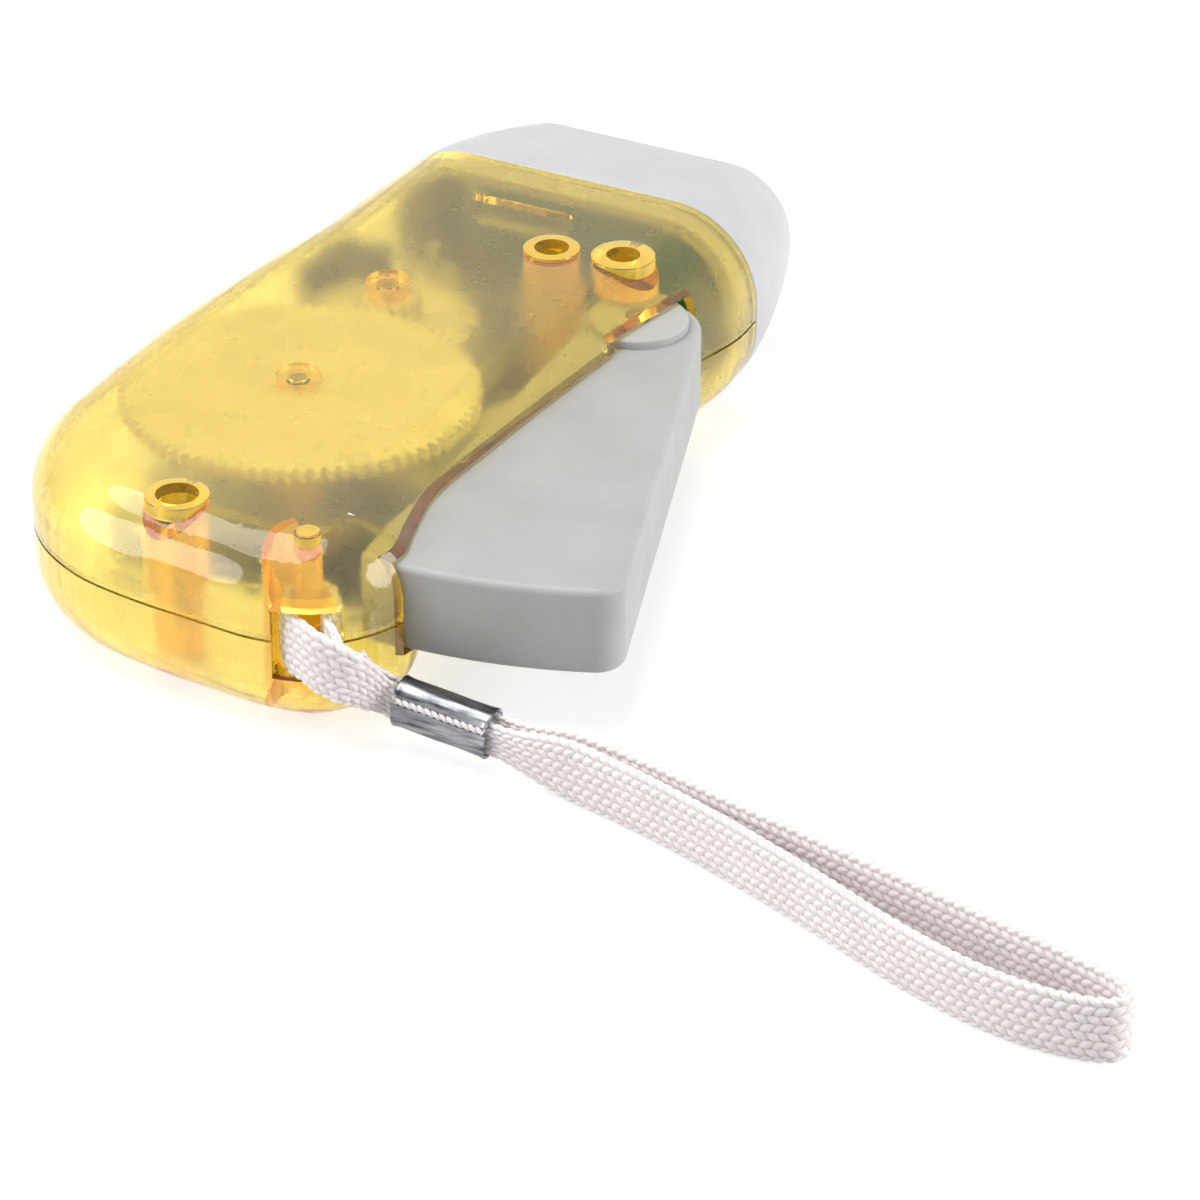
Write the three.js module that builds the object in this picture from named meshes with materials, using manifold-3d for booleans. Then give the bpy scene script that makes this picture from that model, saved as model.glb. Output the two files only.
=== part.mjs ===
// Squeeze-lever dynamo torch with a wrist strap, in millimetres.
// +X runs from the rear to the lens, +Z is up and the squeeze lever is on the -Y side.
// The origin lies on the flat underside, straight below the main gear's axle.
import * as THREE from 'three';
import Module from 'manifold-3d';
import { mergeVertices } from 'three/addons/utils/BufferGeometryUtils.js';

const wasm = await Module();
wasm.setup();

// Fits and shared cutting sizes
const pieceGap = 0.3;
const runningGap = 0.4;
const overrun = 5;
const weld = 0.2;
const mergeDistance = 1e-4;

// How finely the solids follow their curves
const pinSides = 16;
const cellSides = 24;
const ringSides = 28;
const noseSides = 36;
const pocketSides = 48;
const planSteps = 56;
const roundSteps = 4;
const headCornerSteps = 7;

// Gear train, from the lever's sector to the rotor
const sectorModule = 0.8;
const sectorPitchTeeth = 93;
const drivePinionTeeth = 12;
const fineModule = 0.5;
const mainTeeth = 78;
const idlerPinionTeeth = 14;
const idlerTeeth = 40;
const rotorPinionTeeth = 10;
const pressureAngle = THREE.MathUtils.degToRad(25);
const addendumShare = 0.85;
const dedendumShare = 1.15;
const backlashShare = 0.1;
const pivotDirection = THREE.MathUtils.degToRad(-34.5);
const idlerDirection = THREE.MathUtils.degToRad(4.7);
const rotorDirection = THREE.MathUtils.degToRad(5);
const leverTravel = THREE.MathUtils.degToRad(23);

const pitchRadius = (teeth, module) => teeth * module / 2;
const polar = (centre, distance, angle) => [
  centre[0] + distance * Math.cos(angle),
  centre[1] + distance * Math.sin(angle),
];
const mainPlace = [0, 0];
const sectorRadius = pitchRadius(sectorPitchTeeth, sectorModule);
const driveRadius = pitchRadius(drivePinionTeeth, sectorModule);
const mainRadius = pitchRadius(mainTeeth, fineModule);
const mainTip = mainRadius + addendumShare * fineModule;
const idlerPinionRadius = pitchRadius(idlerPinionTeeth, fineModule);
const idlerRadius = pitchRadius(idlerTeeth, fineModule);
const rotorPinionRadius = pitchRadius(rotorPinionTeeth, fineModule);
const pivotPlace = polar(mainPlace, sectorRadius + driveRadius, pivotDirection);
const idlerPlace = polar(mainPlace, mainRadius + idlerPinionRadius, idlerDirection);
const rotorPlace = polar(idlerPlace, idlerRadius + rotorPinionRadius, rotorDirection);

// Lever: nose round its pivot and heights either side of the split
const leverNose = 7.4;
const leverSlope = THREE.MathUtils.degToRad(19.15);
const leverWall = 1.5;
const leverCorner = 3.2;
const leverEdge = 0.7;
const leverBelowSplit = 3.7;
const leverAboveSplit = 6.5;
const leverInnerAngle = THREE.MathUtils.degToRad(178.6);
const noseEndAngle = THREE.MathUtils.degToRad(130);
const leverDiscRadius = 6;
const leverDiscHeight = 1.1;

// Generator: a claw-pole cup with its coil, a magnet inside and a flywheel above
const idlerPostRadius = 1.9;
const cupRadius = idlerRadius + rotorPinionRadius - idlerPostRadius - 2 * pieceGap;
const cupWall = 0.6;
const cupHeight = 4.9;
const coilInner = 6.2;
const magnetRadius = 5.4;
const flywheelInset = 1;
const flywheelRadius = cupRadius - flywheelInset;
const flywheelThick = 3;
const chassisThick = 1.2;

// Heights of the housing and the gears in it
const wall = 1.5;
const chassisBottom = wall + pieceGap;
const chassisTop = chassisBottom + chassisThick;
const cupBottom = chassisTop + pieceGap;
const cupTop = cupBottom + cupHeight;
const flywheelBottom = cupTop + runningGap;
const splitHeight = flywheelBottom + flywheelThick + runningGap;
const roofRoom = 0.2;
const roofRise = 3;
const mainGearThick = 1.4;
const leverBottom = splitHeight - leverBelowSplit;
const leverTop = splitHeight + leverAboveSplit;
const mainGearBottom = leverTop + runningGap;
const mainGearTop = mainGearBottom + mainGearThick;
const rearTop = mainGearTop + roofRoom + wall;
const seamTop = rearTop + roofRise;

// Hubs and the sector's web
const mainHubRadius = 3.2;
const idlerHubRadius = 2.4;
const sectorHubRadius = 3.2;
const sectorRimRadius = 31;
const sectorWebSpan = THREE.MathUtils.degToRad(20);
const spareTeeth = 1;

// Wrist strap: a flat braid that wraps a moulded post and passes a crimped ferrule
const strapWidth = 7.6;
const strapThick = 1.6;
const strapPostRadius = 1.45;
const strapPostRoom = 4.5;
const postBehind = 0.7;
const postAside = 16.4;
const slotHeight = strapWidth + 2 * pieceGap;
const strapCentreHeight = 11.6;
const strapSteps = 80;
const squeezedWidth = 4.2;
const squeezedThick = 1.3;
const wrapSteps = 3;
const outerWrapStart = THREE.MathUtils.degToRad(21.6);
const outerWrapEnd = THREE.MathUtils.degToRad(-65);
const innerWrapStart = THREE.MathUtils.degToRad(115);
const innerWrapEnd = THREE.MathUtils.degToRad(28.4);
const squeezeStart = 1.1;
const mouthSqueezeEnd = 2;
const loopSqueezeEnd = 3;
const ferruleHigh = 5.7;
const ferruleWide = 4.6;
const ferruleWall = 0.4;

// Housing plan: reaches of the walls from the main axle, worked out from what they enclose
const sideRoom = 2.65;
const leverSideRoom = 6.2;
const rearRoom = 6.2;
const frontRoom = 7.8;
const rearBoss = 3.5;
const rearBossRoom = 5.36;
const rearBossDirection = THREE.MathUtils.degToRad(184.687);
const rearCorner = polar(mainPlace, mainTip + rearBossRoom + rearBoss, rearBossDirection);
const strapPost = [rearCorner[0] - postBehind, rearCorner[1] - postAside];
const postReach = Math.hypot(strapPost[0] - pivotPlace[0], strapPost[1] - pivotPlace[1]);
const leverLength = postReach - strapPostRoom;
const sideReach = mainTip + sideRoom;
const leverSideReach = -pivotPlace[1] + leverSideRoom;
const rearReach = -strapPost[0] + rearRoom;
const seamReach = rotorPlace[0] + cupRadius + frontRoom;
const planLength = rearReach + seamReach;
const planWidth = sideReach + leverSideReach;
const upperRound = 7.5;
const lowerRound = 8.3;
const headRound = 11;

// Head
const headLength = 20;
const rimHalfWidth = 19.4;
const rimHalfHeight = 8.6;
const rimRound = 8;
const rimEdge = 0.8;
const headTaper = 1.5;
const spigotLength = 3;
const spigotRoot = 2;
const spigotInset = wall + pieceGap;
const spigotWall = 1;
const lensThick = 1.6;
const lensSink = 0.6;
const boardAhead = 5;
const boardThick = 1.2;
const boardHalfWidth = 14;
const boardHalfHeight = 6;
const ledRadius = 2.5;
const ledLength = 8;
const ledFlange = 1;
const ledFlangeEdge = 0.25;
const ledSpacing = 10;
const dishRadius = 4.6;

// Cells, wires and small hardware
const cellRadius = 5.8;
const cellHeight = 4.2;
const cellCap = 0.8;
const cellGap = 0.8;
const cellSpacing = 2 * cellRadius + cellGap;
const cellCapRadius = 4.6;
const trayWall = 0.8;
const traySideRoom = 5.5;
const trayRadius = cellRadius + pieceGap + trayWall;
const cellMiddle = [
  idlerPlace[0] - idlerPostRadius - 2 * pieceGap - trayRadius - cellSpacing,
  sideReach - traySideRoom - trayRadius,
];
const trayHeight = 4.4;
const contactThick = 0.3;
const contactWidth = 4;
const contactRadius = 2.9;
const screwSlotWidth = 0.6;
const springWire = 0.9;
const wireRadius = 0.5;
const wireClimb = 2.4;
const wireInset = 1.5;
const redWireLift = 2.4;
const blackWireLift = 4.2;
const wireSides = 6;
const wireSteps = 16;
const flywheelHub = 3;

// Colours
const shellYellow = 0xf2c418;
const headGrey = 0xd6d6da;
const leverGrey = 0xc6c8c8;
const nylonWhite = 0xf0eee2;
const darkPlastic = 0x2b2a26;
const steel = 0xb9bcc0;
const copper = 0xb5673a;
const braid = 0xe9e1dc;
const boardGreen = 0x2f6b3c;
const trayGrey = 0xa9a8a4;
const lensClear = 0xeef4f8;
const lampClear = 0xf4f6ff;
const wireRed = 0xb02a20;
const wireBlack = 0x1a1a1a;
const magnetGrey = 0x4a4a4c;

// Geometry and solid helpers
function toSolid(geometry) {
  const bare = geometry.index ? geometry.toNonIndexed() : geometry.clone();
  bare.deleteAttribute('normal');
  bare.deleteAttribute('uv');
  const merged = mergeVertices(bare, mergeDistance);
  return new wasm.Manifold(new wasm.Mesh({
    numProp: 3,
    vertProperties: new Float32Array(merged.attributes.position.array),
    triVerts: new Uint32Array(merged.index.array),
  }));
}

function toGeometry(solid) {
  const mesh = solid.getMesh();
  const geometry = new THREE.BufferGeometry();
  geometry.setAttribute('position', new THREE.BufferAttribute(mesh.vertProperties, 3));
  geometry.setIndex(new THREE.BufferAttribute(mesh.triVerts, 1));
  geometry.computeVertexNormals();
  return geometry;
}

function joinAll(solids) {
  return solids.reduce((whole, solid) => whole.add(solid));
}

function cutAll(solid, cutters) {
  return cutters.reduce((left, cutter) => left.subtract(cutter), solid);
}

function outlineShape(points) {
  return new THREE.Shape(points.map(([x, y]) => new THREE.Vector2(x, y)));
}

// An outline in plan, raised straight up from one height to another
function prism(shape, bottom, top) {
  const geometry = new THREE.ExtrudeGeometry(shape, { depth: top - bottom, bevelEnabled: false });
  geometry.translate(0, 0, bottom);
  return toSolid(geometry);
}

function upright([x, y], radius, bottom, top, sides = pinSides) {
  const geometry = new THREE.CylinderGeometry(radius, radius, top - bottom, sides);
  geometry.rotateX(Math.PI / 2);
  geometry.translate(x, y, (bottom + top) / 2);
  return toSolid(geometry);
}

function block(xRange, yRange, zRange) {
  const ranges = [xRange, yRange, zRange];
  const size = ranges.map(([low, high]) => high - low);
  const middle = ranges.map(([low, high]) => (low + high) / 2);
  const geometry = new THREE.BoxGeometry(...size);
  geometry.translate(...middle);
  return toSolid(geometry);
}

function tube(place, outer, inner, bottom, top, sides = ringSides) {
  const bore = upright(place, inner, bottom - overrun, top + overrun, sides);
  return upright(place, outer, bottom, top, sides).subtract(bore);
}

// Closed solid through a stack of rings that all have the same number of points; each end
// is a fan from the middle of its ring, so a ring has to be visible from its middle
function stackRings(rings) {
  const count = rings[0].length;
  const last = (rings.length - 1) * count;
  const middles = [rings[0], rings[rings.length - 1]].map((ring) => [0, 1, 2].map(
    (axis) => ring.reduce((sum, point) => sum + point[axis], 0) / count,
  ));
  const positions = [...rings.flat(), ...middles].flat();
  const startMiddle = rings.length * count;
  const endMiddle = startMiddle + 1;
  const index = [];
  for (let step = 0; step < count; step += 1) {
    const next = (step + 1) % count;
    for (let low = 0; low < last; low += count) {
      const high = low + count;
      index.push(low + step, low + next, high + next);
      index.push(low + step, high + next, high + step);
    }
    index.push(startMiddle, next, step);
    index.push(endMiddle, last + step, last + next);
  }
  const geometry = new THREE.BufferGeometry();
  geometry.setAttribute('position', new THREE.Float32BufferAttribute(positions, 3));
  geometry.setIndex(index);
  return toSolid(geometry);
}

function piece(name, shape, colour, roughness, metalness = 0) {
  const geometry = shape instanceof THREE.BufferGeometry ? shape : toGeometry(shape);
  const material = new THREE.MeshStandardMaterial({ color: colour, roughness, metalness });
  const mesh = new THREE.Mesh(geometry, material);
  mesh.name = name;
  return mesh;
}

// Plan of the housing as shares of its length and width, from the lever side of the seam,
// backward past the lever, round the rear and forward again; the last five lie past the seam
const seamRightShare = 0.004;
const seamLeftShare = 0.94;
const knobWallShare = 0.942;
const planShares = [
  [1, seamRightShare], [0.941, 0], [0.863, 0.027], [0.784, 0.059], [0.705, 0.084], [0.57, 0.099],
  [0.401, 0.108], [0.277, 0.107], [0.198, 0.072], [0.131, 0.04], [0.063, 0.084], [0.018, 0.16],
  [0, 0.276], [0.003, 0.419], [0.01, 0.58], [0.027, 0.723], [0.069, 0.852], [0.131, 0.944],
  [0.21, 0.993], [0.3, 1], [0.424, 0.998], [0.559, 0.98], [0.672, 0.957], [0.773, knobWallShare],
  [0.891, 0.946], [1, seamLeftShare],
  [1.122, 0.93], [1.258, 0.818], [1.314, 0.472], [1.258, 0.133], [1.122, 0.015],
];
const planPoints = samplePlan();

function samplePlan() {
  const corners = planShares.map(([along, across]) => new THREE.Vector3(
    along * planLength - rearReach,
    across * planWidth - leverSideReach,
    0,
  ));
  const curve = new THREE.CatmullRomCurve3(corners.reverse(), true, 'centripetal');
  const points = [];
  for (let step = 0; step < planSteps; step += 1) {
    const point = curve.getPointAt(step / planSteps);
    const ahead = curve.getTangentAt(step / planSteps);
    points.push({ x: point.x, y: point.y, inX: -ahead.y, inY: ahead.x });
  }
  return points;
}

function roofAt(x) {
  return rearTop + roofRise * (x + rearReach) / planLength;
}

// The edge rounding grows from the main gear's front edge to the seam with the head
function roundAt(x, round) {
  return round + (headRound - round) * THREE.MathUtils.smoothstep(x, mainRadius, seamReach);
}

// One housing half as rings; skin is how far inside the outer surface they lie
function halfSolid(isUpper, skin, rimHeight) {
  const rings = [planPoints.map(({ x, y, inX, inY }) => [x + inX * skin, y + inY * skin, rimHeight])];
  for (let step = 0; step <= roundSteps; step += 1) {
    const turn = (step / roundSteps) * (Math.PI / 2);
    rings.push(planPoints.map(({ x, y, inX, inY }) => {
      const round = roundAt(x, isUpper ? upperRound : lowerRound) - skin;
      const inset = skin + round * (1 - Math.cos(turn));
      const drop = skin + round * (1 - Math.sin(turn));
      const along = x + inX * inset;
      return [along, y + inY * inset, isUpper ? roofAt(along) - drop : drop];
    }));
  }
  return stackRings(isUpper ? rings : rings.reverse());
}

// Screws, posts and the seats that they share
const bossProud = 0.2;
const frontScrew = {
  along: 1.4,
  aside: -14.7,
  from: rotorPlace,
  bossRadius: 3.3,
  boreRadius: 2,
  seatHeight: 2.4,
};
const rearScrew = {
  along: 0,
  aside: 0,
  from: rearCorner,
  bossRadius: rearBoss,
  boreRadius: 2.35,
  seatHeight: 6.2,
};
const blindBoss = {
  along: 4.2,
  aside: 3.9,
  from: pivotPlace,
  bossRadius: 3.7,
  boreRadius: 1.95,
  depth: 2,
};
for (const boss of [frontScrew, rearScrew, blindBoss]) {
  boss.place = [boss.from[0] + boss.along, boss.from[1] + boss.aside];
}
const shankRadius = 1;
const screwHeadHeight = 1.2;
const screwBite = 5.5;
const screwPostRadius = 2.7;
const shankGap = 0.2;

// Axles and the posts that hold their ends
const axleRadius = 1;
const axlePostRadius = 2.5;
const pivotPinRadius = 1.5;
const pivotPostRadius = 3.2;
const axleSink = 0.8;
const pinSink = 2.4;
const screwTip = splitHeight - screwBite;
const pinBottom = leverBottom - pieceGap - pinSink;
const driveLift = 2.4;
const driveBottom = leverBottom + driveLift;
const driveThick = 4;
const sectorThick = 3;
const sectorLift = 0.5;
const sectorBottom = driveBottom + sectorLift;
const idlerGearThick = 2;
const idlerLift = 0.7;
const idlerGearBottom = sectorBottom + sectorThick + idlerLift;

// Small housing details
const lidRib = { ahead: 10.6, left: 2.2, right: -8.9, thick: 1.2, hang: 3, returnLength: 3 };
const chassisRearReach = 12.5;
const pipHeight = 0.5;
const pipSink = 0.9;
const chamberRadius = 3.7;
const chamberStart = THREE.MathUtils.degToRad(46.8);
const chamberSpan = THREE.MathUtils.degToRad(122.4);
const sweepStart = THREE.MathUtils.degToRad(162);
const sweepSpan = THREE.MathUtils.degToRad(54);
const chamberWall = 1;
const gearPocketGap = 0.35;
const switchKnob = {
  rear: 31,
  length: 3,
  travel: 3,
  height: 3,
  lift: 1.2,
  proudLength: 1,
  rootLength: 3.4,
  pocketDepth: 1.7,
  caseEdge: 1.1,
};
const knobBottom = splitHeight + switchKnob.lift;
const knobWall = knobWallShare * planWidth - leverSideReach;
const slotDirection = THREE.MathUtils.degToRad(205);
const strapOffset = strapPostRadius + pieceGap + strapThick / 2;

// The space that the lever sweeps, a little wider than the lever itself
function leverSpace(bottom, top) {
  const reach = leverLength + runningGap;
  const arcSteps = 12;
  const points = [pivotPlace];
  for (let step = 0; step <= arcSteps; step += 1) {
    points.push(polar(pivotPlace, reach, sweepStart + sweepSpan * (step / arcSteps)));
  }
  return prism(outlineShape(points), bottom, top);
}

// A straight slot in the rear corner, where both strands of the strap pass
function strapSlot() {
  const halfHeight = slotHeight / 2;
  const halfWidth = strapOffset + strapThick / 2 + pieceGap;
  const length = rearRoom + 2 * overrun;
  const geometry = new THREE.BoxGeometry(length, halfWidth * 2, halfHeight * 2);
  geometry.translate(length / 2, 0, strapCentreHeight);
  geometry.rotateZ(slotDirection);
  geometry.translate(...strapPost, 0);
  return toSolid(geometry);
}

// Partition that keeps the strap's turn apart from the inside of the housing
function strapChamber(bottom, top) {
  const arcSteps = 8;
  const arc = (radius) => Array.from({ length: arcSteps + 1 }, (_, step) => (
    polar(strapPost, radius, chamberStart + chamberSpan * (step / arcSteps))
  ));
  const points = [...arc(chamberRadius + chamberWall), ...arc(chamberRadius).reverse()];
  return prism(outlineShape(points), bottom, top);
}

function aheadOfSeam() {
  const far = planLength + planWidth;
  return block([seamReach, seamReach + far], [-far, far], [-far, far]);
}

function knobSlot() {
  const { rear, length, travel, height } = switchKnob;
  return block(
    [rear - pieceGap, rear + length + travel + pieceGap],
    [sideReach / 2, sideReach + overrun],
    [knobBottom - pieceGap, knobBottom + height + pieceGap],
  );
}

function lowerShell() {
  const rim = splitHeight - pieceGap / 2;
  const outer = halfSolid(false, 0, rim);
  const hollow = halfSolid(false, wall, rim + overrun);
  const noseBottom = leverBottom - runningGap;
  const posts = joinAll([
    upright(mainPlace, axlePostRadius, weld, driveBottom - pieceGap),
    upright(idlerPlace, idlerPostRadius, weld, sectorBottom - pieceGap),
    upright(pivotPlace, pivotPostRadius, weld, leverBottom - pieceGap),
    upright(frontScrew.place, screwPostRadius, weld, rim),
    upright(rearScrew.place, screwPostRadius, weld, rim),
    upright(rotorPlace, axlePostRadius, weld, chassisTop),
    upright(strapPost, strapPostRadius, weld, rim),
    strapChamber(weld, rim),
  ]).intersect(outer);
  const sink = wall + axleSink;
  return cutAll(outer.subtract(hollow).add(posts), [
    leverSpace(noseBottom, splitHeight + overrun).subtract(postsInLeverSpace()),
    upright(pivotPlace, leverNose + runningGap, noseBottom, splitHeight + overrun, noseSides),
    upright(mainPlace, axleRadius + shankGap, sink, splitHeight),
    upright(idlerPlace, axleRadius + shankGap, sink, splitHeight),
    upright(rotorPlace, axleRadius + shankGap, sink, splitHeight),
    upright(pivotPlace, pivotPinRadius + shankGap, pinBottom, splitHeight),
    upright(frontScrew.place, shankRadius + shankGap, screwTip - axleSink, splitHeight),
    upright(rearScrew.place, shankRadius + shankGap, screwTip - axleSink, splitHeight),
    strapSlot(),
    aheadOfSeam(),
  ]).add(upright(strapPost, strapPostRadius, weld, rim).intersect(outer));
}

// The lever's cavity is open toward the gears, so their posts stand inside its sweep
function postsInLeverSpace() {
  return joinAll([
    upright(mainPlace, axlePostRadius + pieceGap, 0, splitHeight + overrun),
    upright(idlerPlace, axlePostRadius + pieceGap, 0, splitHeight + overrun),
  ]);
}

function upperShell() {
  const rim = splitHeight + pieceGap / 2;
  const lip = leverTop + runningGap;
  const arch = leverTop + leverDiscHeight + runningGap;
  const roof = seamTop + overrun;
  const pocketBottom = mainGearBottom - pieceGap;
  const axleEnd = mainGearTop + pieceGap;
  const outer = halfSolid(true, 0, rim);
  const hollow = halfSolid(true, wall, rim - overrun);
  const inside = joinAll([
    upright(mainPlace, axlePostRadius, axleEnd, roof),
    upright(idlerPlace, axlePostRadius, axleEnd, roof),
    upright(rotorPlace, axlePostRadius, axleEnd, roof),
    upright(frontScrew.place, frontScrew.bossRadius, rim, roof),
    upright(rearScrew.place, rearScrew.bossRadius, rim, roof),
    upright(blindBoss.place, blindBoss.bossRadius, arch, roof),
    strapChamber(rim, roof),
    lidRibSolid(roof),
  ]).intersect(outer);
  const pipTop = roofAt(strapPost[0]) + pipHeight;
  const pip = upright(strapPost, strapPostRadius, rim, pipTop - pipSink);
  const rings = [frontScrew, rearScrew, blindBoss].map(({ place, bossRadius }) => {
    const top = roofAt(place[0]) + bossProud;
    return upright(place, bossRadius, top - wall, top);
  });
  return cutAll(outer.subtract(hollow).add(inside).add(joinAll(rings)), [
    leverSpace(rim - overrun, lip),
    upright(pivotPlace, leverNose + runningGap, rim - overrun, arch, noseSides),
    upright(mainPlace, mainTip + gearPocketGap, pocketBottom, axleEnd, pocketSides),
    upright(mainPlace, axleRadius + shankGap, rim, axleEnd + axleSink),
    upright(idlerPlace, axleRadius + shankGap, rim, axleEnd + axleSink),
    upright(rotorPlace, axleRadius + shankGap, rim, axleEnd + axleSink),
    upright(frontScrew.place, shankRadius + shankGap, rim - overrun, roof),
    upright(frontScrew.place, frontScrew.boreRadius, splitHeight + frontScrew.seatHeight, roof),
    upright(rearScrew.place, shankRadius + shankGap, rim - overrun, roof),
    upright(rearScrew.place, rearScrew.boreRadius, splitHeight + rearScrew.seatHeight, roof),
    upright(blindBoss.place, blindBoss.boreRadius, roofAt(blindBoss.place[0]) - blindBoss.depth, roof),
    strapSlot(),
    knobSlot(),
    aheadOfSeam(),
  ]).add(pip);
}

function lidRibSolid(roof) {
  const { ahead, left, right, thick, hang, returnLength } = lidRib;
  const front = rotorPlace[0] + ahead;
  const bottom = roofAt(front) - wall - hang;
  const bar = block([front - thick, front], [right, left], [bottom, roof]);
  const lip = block([front - returnLength, front], [right - thick, right + weld], [bottom, roof]);
  return bar.add(lip);
}

// Lever outline at rest, anticlockwise from the outer end of its nose
function leverOutline(inset, innerSpread = 0) {
  const arcSteps = 8;
  const arc = (centre, radius, from, to) => Array.from({ length: arcSteps + 1 }, (_, step) => (
    polar(centre, radius, from + (to - from) * (step / arcSteps))
  ));
  const wallAngle = leverSlope - Math.PI / 2;
  const aside = leverNose - leverCorner;
  const along = Math.sqrt((leverLength - leverCorner) ** 2 - aside ** 2);
  const corner = polar(polar(pivotPlace, aside, wallAngle), along, leverSlope + Math.PI);
  const cornerStart = Math.atan2(corner[1] - pivotPlace[1], corner[0] - pivotPlace[0]) + 2 * Math.PI;
  const openSide = [
    polar(pivotPlace, leverNose + innerSpread, noseEndAngle),
    polar(pivotPlace, leverLength - inset, leverInnerAngle - innerSpread / leverLength),
  ];
  return [
    ...arc(pivotPlace, leverNose - inset, wallAngle, noseEndAngle),
    ...(innerSpread ? openSide : []),
    ...arc(pivotPlace, leverLength - inset, leverInnerAngle, cornerStart),
    ...arc(corner, leverCorner - inset, cornerStart, wallAngle + 2 * Math.PI),
  ];
}

function squeezeLever() {
  const ringAt = (inset, height) => leverOutline(inset).map(([x, y]) => [x, y, height]);
  const outer = stackRings([
    ringAt(leverEdge, leverBottom),
    ringAt(0, leverBottom + leverEdge),
    ringAt(0, leverTop - leverEdge),
    ringAt(leverEdge, leverTop),
  ]);
  const cavity = prism(
    outlineShape(leverOutline(leverWall, overrun)),
    leverBottom + leverWall,
    leverTop - leverWall,
  );
  const discTop = leverTop + leverDiscHeight;
  const disc = upright(pivotPlace, leverDiscRadius, leverTop - weld, discTop, noseSides);
  const bore = upright(pivotPlace, pivotPinRadius + shankGap, 0, leverTop + overrun);
  return outer.subtract(cavity).add(disc).subtract(bore);
}

// Involute teeth: half the angle of a tooth at a radius
function halfToothAngle(teeth, module, radius) {
  const base = pitchRadius(teeth, module) * Math.cos(pressureAngle);
  const involute = (angle) => Math.tan(angle) - angle;
  const slant = Math.acos(Math.min(1, base / radius));
  const atPitch = (Math.PI / 2 - 2 * backlashShare) / teeth;
  return atPitch + involute(pressureAngle) - involute(slant);
}

function toothPoints(centre, teeth, module, middle, radii) {
  const flank = radii.map((radius) => [radius, halfToothAngle(teeth, module, radius)]);
  return [
    ...flank.map(([radius, half]) => polar(centre, radius, middle - half)),
    ...flank.reverse().map(([radius, half]) => polar(centre, radius, middle + half)),
  ];
}

function toothRadii(teeth, module, withFlank) {
  const pitch = pitchRadius(teeth, module);
  const root = pitch - dedendumShare * module;
  const tip = pitch + addendumShare * module;
  return withFlank ? [root, pitch, tip] : [root, tip];
}

// A spur gear with one tooth pointing along the given angle
function spurGear(centre, teeth, module, angle, bottom, top, withFlank) {
  const radii = toothRadii(teeth, module, withFlank);
  const points = [];
  for (let tooth = 0; tooth < teeth; tooth += 1) {
    const middle = angle + 2 * Math.PI * (tooth / teeth);
    points.push(...toothPoints(centre, teeth, module, middle, radii));
  }
  return prism(outlineShape(points), bottom, top);
}

const meshGap = (angle, teeth) => angle + Math.PI + Math.PI / teeth;
const axleBore = (place) => upright(place, axleRadius + pieceGap, -overrun, seamTop + overrun);

function drivePinion() {
  const angle = meshGap(pivotDirection + Math.PI, drivePinionTeeth);
  const top = driveBottom + driveThick;
  const teeth = spurGear(mainPlace, drivePinionTeeth, sectorModule, angle, driveBottom, top, true);
  return teeth.subtract(axleBore(mainPlace));
}

function mainGear() {
  const teeth = spurGear(mainPlace, mainTeeth, fineModule, idlerDirection, mainGearBottom, mainGearTop);
  const hubBottom = driveBottom + driveThick + pieceGap;
  const hub = upright(mainPlace, mainHubRadius, hubBottom, mainGearBottom + weld);
  return teeth.add(hub).subtract(axleBore(mainPlace));
}

function idlerGear() {
  const pinionAngle = meshGap(idlerDirection, idlerPinionTeeth);
  const gearTop = idlerGearBottom + idlerGearThick;
  const pinionBottom = mainGearBottom - weld;
  return joinAll([
    spurGear(idlerPlace, idlerTeeth, fineModule, rotorDirection, idlerGearBottom, gearTop),
    upright(idlerPlace, idlerHubRadius, gearTop - weld, pinionBottom + weld),
    spurGear(idlerPlace, idlerPinionTeeth, fineModule, pinionAngle, pinionBottom, mainGearTop, true),
  ]).subtract(axleBore(idlerPlace));
}

function rotorPinion() {
  const angle = meshGap(rotorDirection, rotorPinionTeeth);
  const bottom = flywheelBottom + flywheelThick + pieceGap;
  const top = idlerGearBottom + idlerGearThick + pieceGap;
  const teeth = spurGear(rotorPlace, rotorPinionTeeth, fineModule, angle, bottom, top, true);
  return teeth.subtract(upright(rotorPlace, axleRadius + shankGap, 0, seamTop));
}

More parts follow.
